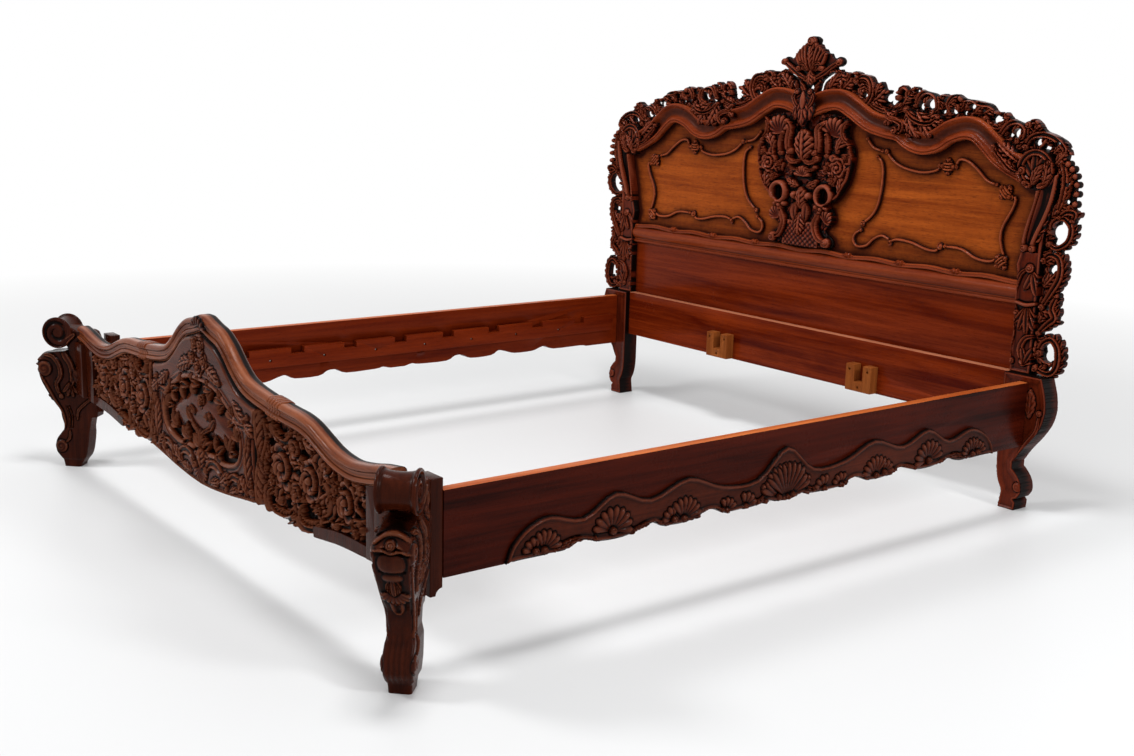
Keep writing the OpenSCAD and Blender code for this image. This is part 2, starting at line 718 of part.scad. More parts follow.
// The carver set the left field's scrolls nearer to the middle than the right field's
left_shift = 44;
right_shift = 8;
inner_scroll_x = 350;
outer_scroll_x = 880;
function scroll_pt(p, near) = let (share = (outer_scroll_x - p[0]) / (outer_scroll_x - inner_scroll_x))
    head_pt([p[0] - near * (0.5 + 0.5 * share), p[1]]);
module panel_scrolls(near) {
    slab(panel_y - scroll_t, panel_y)
        for (s = panel_strands)
            strand([for (p = s[0]) scroll_pt(p, near)], scroll_w, s[1], s[2]);
    for (c = panel_clasps)
        slab(panel_y - scroll_t - 3, panel_y)
            leaf(scroll_pt([c[0], c[1]], near) - 24 * [cos(c[2]), sin(c[2])], c[2], 48, 40, 3);
}

// Notched brackets for the bearers under the slats

bracket_z = bottom_rail_z + 2;
bracket_screws_at = [[-0.36, 0.8], [0.36, 0.8], [0, 0.16]];
bracket_screw_l = bracket_t - 18 + 22;
module bracket_screw_holes(d = screw_d + 0.6) {
    for (p = bracket_screws_at)
        translate([p[0] * bracket_w, 22 + fit, p[1] * bracket_h])
            rotate([90, 0, 0])
                cylinder(d = d, h = bracket_t + 30, $fn = 24);
}
module beam_bracket() {
    front_y = bottom_rail_y - bracket_t;
    translate([bracket_x, front_y, bracket_z])
        difference() {
            translate([-bracket_w / 2, 0, 0])
                cube([bracket_w, bracket_t, bracket_h]);
            translate([-bearer_w / 2, -1, bracket_h - bearer_h])
                cube([bearer_w, bracket_t + 2, bearer_h + 1]);
            for (p = bracket_screws_at)
                translate([p[0] * bracket_w, 0, p[1] * bracket_h])
                    rotate([-90, 0, 0]) {
                        translate([0, 0, -1])
                            cylinder(d = 2.2 * screw_d + 2 * fit, h = 19, $fn = 32);
                        cylinder(d = screw_d + 0.6, h = bracket_t + 1, $fn = 24);
                    }
        }
}
// A screw with a round head, whose shank runs along +Z from the head's seat
module screw(l) {
    translate([0, 0, -2.6])
        cylinder(d1 = 1.5 * screw_d, d2 = 2.2 * screw_d, h = 2.6, $fn = 32);
    cylinder(d = screw_d, h = l, $fn = 24);
}
module bracket_screws() color(steel) placed() {
    for (s = [-1, 1], p = bracket_screws_at)
        translate([s * bracket_x + p[0] * bracket_w, bottom_rail_y - bracket_t + 18, bracket_z + p[1] * bracket_h])
            rotate([-90, 0, 0])
                screw(bracket_screw_l);
}

// Foot legs: sawn from two sides, first to the side outline and then to the front outline

// Side outline, with the distance outwards from the axis of the roll, and height
function leg_side_outline() = concat(
    [[-62, 0], [-6, 0], [-2, 20]],
    curve([[2, 30], [16, 50], [19, 72], [13, 93], [-2, 113]], 4),
    curve([[-12, 131], [-2, 169], [0, 188], [20, 218], [44, 262], [60, 301], [nose_u + nose_r - 1, nose_z],
        [62, 346], [50, 364]], 4),
    curve([[38, 378], [10, 381], [-22, 384], [-40, 392]], 4),
    [[roll_u - 24, roll_axis_z], [roll_u, roll_axis_z + roll_r * 0.7]],
    curve([[roll_u - 26, roll_axis_z + roll_r * 0.55], [-80, roll_axis_z + 6], [-leg_depth, roll_axis_z - 24]], 4),
    curve([[-leg_depth, 186], [-108, 168], [-98, 130], [-94, 90], [-84, 40], [-66, 12]], 4));
// Half of the front outline, with the distance from the middle of the face, and height
function leg_front_half() = [for (p = concat([[26, 0], [27, 22]],
    curve([[32, 30], [33, 60], [32, 118], [28, 130], [28, 170], [31, 205], [35, 250], [40, 300]], 4),
    [[40, 356]],
    curve([[37, 370], [34, 386], [38, 402]], 4),
    [[40, roll_axis_z + roll_r + 1]]))
    [p[0] * foot_leg_w / 64, p[1]]];
module at_corner() {
    translate([leg_mid_x, 0, 0])
        rotate([0, 0, corner_turn])
            translate([roll_axis_out, 0, 0])
                children();
}
module foot_leg_core() {
    translate([foot_stile_out, foot_y - 30, core_bottom])
        cube([core_w, -foot_y + 30 - post_t, rail_top_z + core_back - core_bottom]);
}
module foot_leg() {
    difference() {
        union() {
            at_corner() {
                intersection() {
                    rotate([90, 0, 0])
                        translate([0, 0, -roll_w])
                            linear_extrude(2 * roll_w) {
                                polygon(leg_side_outline());
                                translate([nose_u, nose_z])
                                    circle(r = nose_r, $fn = 64);
                            }
                    rotate([90, 0, 90])
                        translate([0, 0, -leg_depth - 10])
                            linear_extrude(leg_depth + 120)
                                polygon(concat(leg_front_half(), mirrored(leg_front_half())));
                }
                // The roll: a barrel with a hollow waist and raised rims
                translate([roll_u, 0, roll_axis_z])
                    rotate([90, 0, 0])
                        rotate_extrude($fn = 72)
                            polygon(roll_profile());
            }
            foot_leg_core();
        }
        translate([rail_out_x - 200, -post_t, 0])
            cube([300, 200, foot_roll_z + 20]);
        foot_stile_tenon(fit);
    }
}
function roll_profile() = let (h = roll_w / 2) concat([[0, -h], [roll_r * 0.42, -h], [roll_r * 0.5, -h + 4],
        [roll_r * 0.86, -h + 4], [roll_r * 0.9, -h], [roll_r, -h], [roll_r, -h + 8]],
    [for (k = [0 : 10]) let (t = k / 10) [roll_r * (0.93 - 0.10 * sin(180 * t)), (t * 2 - 1) * (h - 9)]],
    [[roll_r, h - 8], [roll_r, h], [roll_r * 0.9, h], [roll_r * 0.86, h - 4], [roll_r * 0.5, h - 4],
        [roll_r * 0.42, h], [0, h]]);

// Block behind a foot leg, with a cove under it, which takes the side rail
post_w = 62;
post_top = rail_top_z + 28;
post_bottom = rail_bottom_z - 22;
module foot_post() {
    difference() {
        translate([rail_out_x - 3 - post_w, -post_t, post_bottom - 18])
            cube([post_w, post_t, post_top - post_bottom + 18]);
        translate([0, fit, post_bottom - 18])
            rotate([0, 90, 0])
                cylinder(r = 18, h = rail_out_x + 10, $fn = 48);
        foot_catch_pocket();
    }
}

// Footboard

cap_y0 = foot_y - foot_cap_t / 2;
cap_y1 = foot_y + foot_cap_t / 2;
panel_y0 = foot_y - foot_panel_t / 2;
panel_y1 = foot_y + foot_panel_t / 2;
foot_stile_in = 880 * stretch;
foot_stile_out = rail_out_x - 74;
cap_path = concat([[fit / 2, foot_pt([0, 627])[1]]], curve(concat(foot_pts([[14, 627], [60, 614], [105, 603], [150, 578], [195, 543], [245, 513], [300, 498],
    [360, 490], [430, 483], [500, 479], [560, 476], [610, 467], [660, 450], [710, 433], [760, 423], [815, 420]]),
    [[foot_stile_in, foot_pt([0, 428])[1]], [foot_stile_out, foot_pt([0, 440])[1]]]), 2));
// Two beads with a cavetto between them, on a flat underside
function cap_profile() = [for (q = [[0.5, -0.28], [0.5, 0.28], [0.36, 0.46], [0.22, 0.5], [0.1, 0.42], [-0.12, 0.36],
        [-0.2, 0.46], [-0.34, 0.48], [-0.5, 0.36], [-0.5, -0.36], [-0.34, -0.48], [-0.2, -0.46], [-0.12, -0.36],
        [0.1, -0.42], [0.22, -0.5], [0.36, -0.46]])
    [q[0] * foot_cap_h, foot_y + q[1] * foot_cap_t]];
module foot_top_rail() {
    swept(cap_path, cap_profile());
}
module cap_area(gap = 0) {
    outer = beside(cap_path, foot_cap_h / 2 + gap);
    inner = beside(cap_path, -foot_cap_h / 2 - gap);
    polygon(concat(outer, [for (i = [len(inner) - 1 : -1 : 0]) inner[i]]));
}

module foot_crown() color(foot_wood) placed() {
    top = foot_h - foot_cap_h;
    slab(cap_y0 - 10, cap_y0)
        difference() {
            gouged() {
                shell([0, top - 4], 90, 50, 7, 190);
                flower([-24, top - 26], 22, 5);
                flower([24, top - 26], 22, 5);
                flower([0, top - 52], 24, 6);
            }
            foot_cartouche_area();
        }
}

foot_shield = [[334, 400], [334, 320], [334, 250], [332, 224], [290, 217], [245, 211], [185, 203], [128, 197], [70, 192],
    [0, 189]];
module foot_cartouche_area(grow = 0) {
    half = foot_pts(concat([[0, 625], [100, 606], [150, 580], [195, 545], [245, 515], [300, 496], [338, 488]], foot_shield));
    offset(delta = grow)
        polygon(concat(curve(half, 3), mirrored(curve(half, 3))));
}
foot_field = [[0, 474], [90, 468], [170, 438], [232, 400], [250, 350], [224, 306], [150, 286], [70, 292], [0, 280]];
foot_shield_strands = [
    [[[30, 500], [90, 500], [150, 470], [210, 440], [270, 420], [300, 400]], 14, 8],
    [[[300, 380], [296, 320], [250, 272], [190, 262], [150, 246], [128, 262]], 16, 11],
    [[[60, 250], [90, 222], [130, 222], [160, 214]], 14, 9],
    [[[318, 420], [318, 350], [304, 300]], 12, 7]];
module foot_half_spray() {
    flower(foot_pt([110, 410]), 22, 5);
    leaf(foot_pt([40, 330]), 40, 100, 40, 4);
    leaf(foot_pt([60, 420]), -10, 90, 34, 4);
    flower(foot_pt([150, 330]), 18, 5);
    for (s = foot_shield_strands)
        strand(foot_pts(s[0]), s[1], s[2]);
}
module foot_cartouche() color(foot_wood) placed() {
    slab(panel_y0 - foot_cartouche_rise, panel_y1)
        difference() {
            foot_cartouche_area();
            cap_area(fit);
            left()
                cap_area(fit);
            foot_field_area();
        }
    slab(panel_y0, panel_y1)
        offset(delta = 1)
            foot_field_area();
    slab(panel_y0 - foot_cartouche_rise - 5, panel_y0)
        difference() {
            gouged(1.5) {
                foot_half_spray();
                left()
                    foot_half_spray();
                leaf(foot_pt([0, 230]), 90, 130, 60, 5);
            }
            cap_area(fit);
            left()
                cap_area(fit);
        }
}
module foot_field_area() {
    half = curve(foot_pts(foot_field), 3);
    polygon(concat(half, mirrored(half)));
}

foot_lower_edge = [[330, 214], [372, 208], [400, 220], [440, 212], [470, 216], [510, 212], [560, 216], [600, 218], [640, 228],
    [690, 246], [760, 258], [830, 262], [884, 256]];
foot_strands = [
    [[[356, 420], [360, 360], [346, 300], [356, 250]], 16, 10],
    [[[384, 300], [400, 250], [440, 222], [500, 216], [560, 230], [580, 262], [560, 284]], 18, 10],
    [[[600, 300], [612, 260], [640, 236], [664, 250]], 16, 8],
    [[[400, 440], [440, 400], [480, 420], [520, 400], [500, 360]], 15, 8],
    [[[680, 260], [700, 300], [690, 350], [720, 380], [750, 360]], 15, 8],
    [[[780, 380], [800, 340], [780, 300], [810, 270], [840, 280]], 15, 8],
    [[[560, 430], [600, 400], [640, 410], [650, 370]], 14, 8]];
foot_flowers = [[[450, 350], 32, 6], [[520, 320], 26, 5], [[600, 350], 28, 6], [[650, 310], 22, 5],
    [[740, 320], 26, 5], [[820, 330], 24, 5], [[430, 290], 24, 5], [[560, 380], 22, 5]];
foot_leaves = [[[400, 330], 120, 60, 30, 3], [[480, 300], -60, 60, 32, 3], [[540, 350], 60, 60, 30, 3],
    [[620, 380], 30, 70, 30, 3], [[700, 300], -50, 56, 30, 3], [[780, 350], 60, 50, 28, 3],
    [[560, 260], -150, 70, 34, 4], [[840, 400], -120, 60, 30, 3]];
foot_piercings = [[[372, 262], 12], [[412, 372], 12], [[486, 372], 11], [[572, 330], 10], [[690, 400], 12],
    [[668, 352], 9], [[784, 406], 10], [[760, 262], 13], [[480, 262], 12], [[846, 372], 9]];
module foot_bottom_rail_area() {
    difference() {
        polygon(strand_outline(curve(foot_pts([[626, 230], [680, 238], [740, 246], [800, 250], [850, 251], [888, 252]]), 4),
            30, 0.8));
        translate([foot_stile_in, 0])
            square([200, 400]);
    }
}
module foot_carving_area() {
    difference() {
        polygon(concat(foot_pts(foot_lower_edge), by_x([for (p = cap_path) if (p[0] > 330 && p[0] < foot_stile_in) p])));
        cap_area(fit);
        foot_cartouche_area(fit);
        offset(delta = fit)
            foot_bottom_rail_area();
        translate([foot_stile_in - fit, 0])
            square([200, foot_h]);
        for (h = foot_piercings)
            translate(foot_pt(h[0]))
                circle(r = h[1], $fn = 16);
    }
}
module foot_carving() {
    slab(panel_y0, panel_y1)
        foot_carving_area();
    slab(panel_y0 - 6, panel_y0)
        intersection() {
            offset(delta = -0.4)
                foot_carving_area();
            gouged() {
                for (s = foot_strands)
                    strand(foot_pts(s[0]), s[1], s[2]);
                for (f = foot_flowers)
                    flower(foot_pt(f[0]), f[1], f[2]);
                for (f = foot_leaves)
                    leaf(foot_pt(f[0]), f[1], f[2], f[3], f[4]);
            }
        }
}
module foot_bottom_rail() {
    slab(panel_y0 - 2, panel_y1 + 2)
        foot_bottom_rail_area();
}

module foot_stile_tenon(gap = 0) {
    translate([foot_stile_out - 1, foot_y - 6 - gap, 240 - gap])
        cube([26 + gap, 12 + 2 * gap, 150 + 2 * gap]);
}
module foot_stile() {
    slab(panel_y0 - 2, panel_y1 + 2)
        difference() {
            polygon([[foot_stile_in, foot_pt([0, 237])[1]], [foot_stile_out, foot_pt([0, 240])[1]],
                [foot_stile_out, foot_pt([0, 425])[1]], [foot_stile_in, foot_pt([0, 415])[1]]]);
            cap_area(fit);
        }
    foot_stile_tenon();
}

// Side rails with their ledgers and aprons

// Waves of the lower edge of rail and apron, from the foot end to the middle, as shares of the rail's length, and
// height above the rail's bottom
lower_waves = [[0.076, 0], [0.090, 5], [0.155, 5], [0.176, 20], [0.190, 15], [0.206, 6], [0.246, 6], [0.268, 18],
    [0.284, 24], [0.300, 8], [0.345, 7], [0.362, 23], [0.380, 23], [0.398, 7], [0.456, 8], [0.470, 13], [0.486, 6],
    [0.500, 7]];
function lower_wave() = let (half = [for (p = lower_waves) [p[0] * rail_l, rail_bottom_z + p[1]]])
    curve(concat(half, [for (i = [len(half) - 2 : -1 : 0]) [rail_l - half[i][0], half[i][1]]]), 3);

module side_rail() {
    difference() {
        translate([rail_in_x, 0, rail_bottom_z])
            cube([rail_t, rail_l, rail_h]);
        translate([rail_in_x - 1, 0, 0])
            rotate([90, 0, 90])
                linear_extrude(rail_t + 2)
                    polygon(concat(lower_wave(), [[rail_l / 2, rail_bottom_z - 10]]));
        hook_pockets();
        ledger_screw_holes();
    }
}

ledger_top = rail_top_z - ledger_drop;
ledger_bottom = ledger_top - ledger_h;
ledger_gap = 40;
notch_pitch = (rail_l - 2 * ledger_gap) / notch_count * 0.93;
function notch_y(k) = rail_l / 2 + (k - (notch_count - 1) / 2) * notch_pitch;
module slat_ledger() {
    difference() {
        translate([rail_in_x - ledger_t, ledger_gap, ledger_bottom])
            cube([ledger_t, rail_l - 2 * ledger_gap, ledger_h]);
        for (k = [0 : notch_count - 1])
            translate([rail_in_x - ledger_t - 1, notch_y(k) - notch_w / 2, ledger_top - notch_d])
                cube([ledger_t + 2, notch_w, notch_d + 1]);
        ledger_screw_holes();
    }
}
module at_ledger_screws() {
    for (k = [0 : notch_count - 2])
        translate([rail_in_x - ledger_t, (notch_y(k) + notch_y(k + 1)) / 2, ledger_bottom + ledger_h * 0.4])
            rotate([0, 90, 0])
                children();
}
ledger_screw_l = ledger_t - 6 + rail_t * 0.5;
module ledger_screw_holes() {
    at_ledger_screws() {
        translate([0, 0, -1])
            cylinder(d = 2.2 * screw_d + 2 * fit, h = 7, $fn = 32);
        cylinder(d = screw_d + 2 * fit, h = ledger_screw_l + 6 + fit, $fn = 24);
    }
}
module ledger_screws() color(steel) placed() {
    for (s = [0, 1])
        mirror([s, 0, 0])
            at_ledger_screws()
                translate([0, 0, 6])
                    screw(ledger_screw_l);
}

// Waves of the apron's upper edge from its foot end to its middle, as shares of the rail's length and apron height
apron_top = [[0.076, 0.02], [0.084, 0.28], [0.104, 0.52], [0.134, 0.64], [0.180, 0.50], [0.226, 0.80], [0.278, 0.58],
    [0.336, 0.80], [0.392, 0.54], [0.450, 0.52], [0.500, 1]];
module apron() {
    wave = [for (p = apron_top) [p[0] * rail_l, rail_bottom_z + p[1] * apron_h]];
    other = [for (i = [len(wave) - 2 : -1 : 0]) [rail_l - wave[i][0], wave[i][1]]];
    below = lower_wave();
    translate([rail_out_x, 0, 0])
        rotate([90, 0, 90]) {
            linear_extrude(apron_t * 0.6)
                polygon(concat(curve(concat(wave, other), 4), [for (i = [len(below) - 1 : -1 : 0]) below[i]]));
            linear_extrude(apron_t)
                gouged()
                    for (s = [0, 1])
                        translate([s * rail_l, 0])
                            mirror([s, 0])
                                apron_ornaments();
        }
}
module apron_ornaments() {
    z = rail_bottom_z;
    leaf([0.120 * rail_l, z + 12], 80, 60, 56, 4);
    shell([0.222 * rail_l, z + 22], 70, 62, 8, 190);
    leaf([0.205 * rail_l, z + 26], 190, 60, 24, 3);
    leaf([0.322 * rail_l, z + 14], 75, 76, 64, 4);
    leaf([0.34 * rail_l, z + 18], 10, 60, 26, 3);
    leaf([0.400 * rail_l, z + 16], 60, 50, 24, 3);
    leaf([0.428 * rail_l, z + 16], 60, 50, 24, 3);
    leaf([0.470 * rail_l, z + 16], 55, 84, 44, 4);
    leaf([0.492 * rail_l, z + 14], 84, 100, 56, 4);
}

// Hook plates in the rail ends and catch plates in legs and posts

plate_x = rail_in_x + rail_t / 2;
plate_z = rail_bottom_z + (rail_h - plate_h) / 2;
hook_l = 12;
hook_w = 4;
hook_heights = [0.25, 0.75];
hook_h = 18;
screw_heights = [0.1, 0.5, 0.9];

// Everything on a rail end is drawn for the foot end, where the plate's outer face is at y = 0
module both_rail_ends() {
    children();
    translate([0, rail_l, 0])
        mirror([0, 1, 0])
            children();
}
module plate_board(gap = 0, y0 = 0) {
    translate([plate_x - plate_w / 2 - gap, y0 - gap, plate_z - gap])
        cube([plate_w + 2 * gap, plate_t + 2 * gap, plate_h + 2 * gap]);
}
module hooks(gap = 0) {
    for (h = hook_heights)
        translate([plate_x - hook_w / 2 - gap, -hook_l - gap, plate_z + h * plate_h - hook_h / 2 - gap])
            cube([hook_w + 2 * gap, hook_l + gap + 0.1, hook_h + 2 * gap]);
}
module at_plate_screws(y, turn) {
    for (h = screw_heights)
        translate([plate_x, y, plate_z + h * plate_h])
            rotate([turn, 0, 0])
                children();
}
plate_screw_l = 16;
module plate_screw() {
    cylinder(d = screw_d, h = plate_screw_l, $fn = 24);
    cylinder(d1 = 2 * screw_d, d2 = screw_d, h = screw_d / 2, $fn = 32);
}
module plate_screw_hole() {
    translate([0, 0, -0.01])
        cylinder(d = screw_d + fit, h = plate_screw_l + fit, $fn = 24);
    translate([0, 0, -0.01])
        cylinder(d1 = 2 * screw_d + 2 * fit, d2 = screw_d + fit, h = screw_d / 2 + fit, $fn = 32);
}
module rail_hook_plate() {
    difference() {
        union() {
            plate_board();
            hooks();
        }
        at_plate_screws(0, -90)
            plate_screw_hole();
    }
}
module post_catch_plate() {
    difference() {
        plate_board(0, -plate_t);
        hooks(fit);
        at_plate_screws(-fit / 4, 90)
            plate_screw_hole();
    }
}
module hook_pockets() {
    both_rail_ends() {
        plate_board(fit);
        at_plate_screws(0, -90)
            plate_screw_hole();
    }
}
module catch_pocket() {
    plate_board(fit, -plate_t);
    translate([plate_x - hook_w / 2 - 2, -hook_l - 4, plate_z + 0.1 * plate_h + 8])
        cube([hook_w + 4, hook_l + 4, plate_h * 0.8 - 16]);
    at_plate_screws(0, 90)
        plate_screw_hole();
}
module foot_catch_pocket() {
    catch_pocket();
}
module head_catch_pocket() {
    translate([0, rail_l, 0])
        mirror([0, 1, 0])
            catch_pocket();
}
module both_sides() {
    children();
    left()
        children();
}

// Nodes

module head_leg_left() color(plain_wood) placed() left() head_leg();
module head_leg_right() color(plain_wood) placed() head_leg();
module head_stile_left() color(carved_wood) placed() left() head_stile();
module head_stile_right() color(carved_wood) placed() head_stile();
module side_carving_left() color(carved_wood) placed() left() side_carving();
module side_carving_right() color(carved_wood) placed() side_carving();
module head_lower_panel() color(plain_wood) placed() lower_panel_board();
module arch_frame_left() color(carved_wood) placed() left() arch_frame();
module arch_frame_right() color(carved_wood) placed() arch_frame();
module crest_carving_left() color(carved_wood) placed() left() crest_carving();
module crest_carving_right() color(carved_wood) placed() crest_carving();
module panel_scrolls_left() color(carved_wood) placed() left() panel_scrolls(left_shift);
module panel_scrolls_right() color(carved_wood) placed() panel_scrolls(right_shift);
module beam_bracket_left() color(raw_wood) placed() left() beam_bracket();
module beam_bracket_right() color(raw_wood) placed() beam_bracket();
module foot_leg_left() color(foot_wood) placed() left() foot_leg();
module foot_leg_right() color(foot_wood) placed() foot_leg();
module foot_post_left() color(foot_wood) placed() left() foot_post();
module foot_post_right() color(foot_wood) placed() foot_post();
module foot_stile_left() color(foot_wood) placed() left() foot_stile();
module foot_stile_right() color(foot_wood) placed() foot_stile();
module foot_top_rail_left() color(foot_wood) placed() left() foot_top_rail();
module foot_top_rail_right() color(foot_wood) placed() foot_top_rail();
module foot_carving_left() color(foot_wood) placed() left() foot_carving();
module foot_carving_right() color(foot_wood) placed() foot_carving();
module foot_bottom_rail_left() color(foot_wood) placed() left() foot_bottom_rail();
module foot_bottom_rail_right() color(foot_wood) placed() foot_bottom_rail();
module side_rail_left() color(plain_wood) placed() left() side_rail();
module side_rail_right() color(plain_wood) placed() side_rail();
module apron_left() color(foot_wood) placed() left() apron();
module apron_right() color(foot_wood) placed() apron();
module slat_ledger_left() color(plain_wood) placed() left() slat_ledger();
module slat_ledger_right() color(plain_wood) placed() slat_ledger();
module rail_hook_plates() color(steel) placed() both_sides() both_rail_ends() rail_hook_plate();
module post_catch_plates() color(steel) placed() both_sides() both_rail_ends() post_catch_plate();
module plate_screws() color(steel) placed() both_sides() both_rail_ends() {
    at_plate_screws(0, -90)
        plate_screw();
    at_plate_screws(0, 90)
        plate_screw();
}

head_leg_left();
head_leg_right();
head_stile_left();
head_stile_right();
side_carving_left();
side_carving_right();
head_bottom_rail();
head_lower_panel();
head_mid_rail();
head_ribbon();
head_upper_panel();
arch_frame_left();
arch_frame_right();
crest_carving_left();
crest_carving_right();
crest_finial();
keystone_leaf();
center_cartouche();
panel_scrolls_left();
panel_scrolls_right();
beam_bracket_left();
beam_bracket_right();
bracket_screws();
foot_leg_left();
foot_leg_right();
foot_post_left();
foot_post_right();
foot_stile_left();
foot_stile_right();
foot_top_rail_left();
foot_top_rail_right();
foot_crown();
foot_cartouche();
foot_carving_left();
foot_carving_right();
foot_bottom_rail_left();
foot_bottom_rail_right();
side_rail_left();
side_rail_right();
apron_left();
apron_right();
slat_ledger_left();
slat_ledger_right();
ledger_screws();
rail_hook_plates();
post_catch_plates();
plate_screws();
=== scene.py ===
"""Rococo bed: a carved and lacquered mahogany bedstead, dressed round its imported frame.

Everything is drawn in millimetres in the front view, as the part's source is, and is made in metres.
"""

import math

import bmesh
import bpy
import numpy as np
from mathutils import Matrix, Vector

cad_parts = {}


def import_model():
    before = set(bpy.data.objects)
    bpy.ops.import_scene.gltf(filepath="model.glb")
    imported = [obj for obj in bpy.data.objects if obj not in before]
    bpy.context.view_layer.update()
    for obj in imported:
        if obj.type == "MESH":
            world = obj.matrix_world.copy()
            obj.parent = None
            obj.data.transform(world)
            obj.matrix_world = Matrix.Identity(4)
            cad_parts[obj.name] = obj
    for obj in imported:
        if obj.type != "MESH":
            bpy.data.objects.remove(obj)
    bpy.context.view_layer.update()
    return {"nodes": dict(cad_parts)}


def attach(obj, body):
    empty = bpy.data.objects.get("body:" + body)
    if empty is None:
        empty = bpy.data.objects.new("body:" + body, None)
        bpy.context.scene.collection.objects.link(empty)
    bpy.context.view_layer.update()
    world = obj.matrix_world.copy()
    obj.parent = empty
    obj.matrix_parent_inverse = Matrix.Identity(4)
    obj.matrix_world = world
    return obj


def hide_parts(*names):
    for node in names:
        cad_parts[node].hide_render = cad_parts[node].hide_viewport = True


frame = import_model()

# Sizes in millimetres, as in the part's source, with Y measured from the middle of the bed
MM = 0.001
MID_Y = 969.2165
RAIL_L = 2100
RAIL_IN = 971
RAIL_OUT = 1001
RAIL_BOTTOM = 210
STRETCH = RAIL_IN / 984
LEDGE = 429
STILE_IN = 914
HEAD_BACK = 2164 - MID_Y
ARCH_Y = 2114 - MID_Y
ARCH_W = 72
CREST_Y = 2126 - MID_Y
CREST_BACK = CREST_Y + 30
PANEL_Y = 2150 - MID_Y
FOOT_Y = -100 - MID_Y
FOOT_BACK = FOOT_Y + 14
GAP = 0.3
# The depth and width of the groove cut along an element's edge, and the tone of a board's back, a little
# darker than level: painted shade on the back and down the walls of the piercings
CUT_DEPTH, CUT_WIDTH = 3.5, 2.2
BACK_TONE = 0.6
# More than any squared distance
FAR = 1e12
SIDES = ((1, "right"), (-1, "left"))


# Drawing helpers


def pts(path):
    """Points of a front view drawing, fitted to the width of the bed."""
    return np.array([(p[0] * STRETCH, p[1]) for p in path], float)


def flip(path):
    """The path mirrored to the other side of the middle."""
    return np.asarray(path, float) * (-1, 1)


def curve(path, steps=6):
    """A smooth curve through the points of a path."""
    p = np.asarray(path, float)
    t = np.linspace(0, 1, steps, endpoint=False)[:, None]
    out = []
    for i in range(len(p) - 1):
        a, b, c, d = p[max(i - 1, 0)], p[i], p[i + 1], p[min(i + 2, len(p) - 1)]
        cubic = (3 * b - a - 3 * c + d) * t**3
        out.append(0.5 * (2 * b + (c - a) * t + (2 * a - 5 * b + 4 * c - d) * t**2 + cubic))
    return np.vstack([*out, p[-1:]])


def beside(path, gap):
    """The path moved to its left."""
    d = np.gradient(path, axis=0)
    n = np.stack([-d[:, 1], d[:, 0]], 1)
    return path + n / np.linalg.norm(n, axis=1)[:, None] * gap


def ease(x):
    x = np.clip(x, 0, 1)
    return x * x * (3 - 2 * x)


def outline_distance(u, v, ring):
    """Distance to a closed outline, negative inside it."""
    best = np.full(u.shape, FAR)
    inside = np.zeros(u.shape, bool)
    for (ax, ay), (bx, by) in zip(ring, np.roll(ring, -1, axis=0)):
        dx, dy = bx - ax, by - ay
        size = dx * dx + dy * dy
        if size < 1e-9:
            continue
        t = np.clip(((u - ax) * dx + (v - ay) * dy) / size, 0, 1)
        best = np.minimum(best, (u - ax - t * dx) ** 2 + (v - ay - t * dy) ** 2)
        if ay != by:
            inside ^= ((ay > v) != (by > v)) & (u < ax + (v - ay) * dx / dy)
    return np.where(inside, -1, 1) * np.sqrt(best)


def path_distance(u, v, path):
    """Distance to a path, and the share of the path's length at its nearest point."""
    best = np.full(u.shape, FAR)
    share = np.zeros(u.shape)
    steps = np.linalg.norm(np.diff(path, axis=0), axis=1)
    run = np.concatenate([[0], np.cumsum(steps)])
    for i, size in enumerate(steps):
        if size < 1e-6:
            continue
        (ax, ay), (dx, dy) = path[i], path[i + 1] - path[i]
        t = np.clip(((u - ax) * dx + (v - ay) * dy) / size**2, 0, 1)
        d = (u - ax - t * dx) ** 2 + (v - ay - t * dy) ** 2
        near = d < best
        best = np.where(near, d, best)
        share = np.where(near, (run[i] + t * size) / run[-1], share)
    return np.sqrt(best), share


def blur(a, r):
    """A soft blur over r cells."""
    k = np.exp(-0.5 * (np.arange(-2 * r, 2 * r + 1) / r) ** 2)
    k /= k.sum()
    for axis in (0, 1):
        pad = np.pad(a, [(2 * r, 2 * r) if x == axis else (0, 0) for x in (0, 1)], mode="edge")
        a = sum(w * np.take(pad, range(i, i + a.shape[axis]), axis) for i, w in enumerate(k))
    return a


# Heights of a strand across its half width, from its middle line to its edge
SECTIONS = {
    "round": ([0, 0.3, 0.6, 0.8, 0.93, 1], [1, 0.96, 0.82, 0.62, 0.38, 0.1]),
    "hollow": ([0, 0.3, 0.55, 0.72, 0.85, 0.95, 1], [0.45, 0.52, 0.82, 1, 0.92, 0.6, 0.2]),
    "ridge": ([0, 0.12, 0.4, 0.75, 1], [1, 0.93, 0.62, 0.45, 0.12]),
    "flat": ([0, 0.6, 0.85, 1], [1, 0.97, 0.8, 0.3]),
}


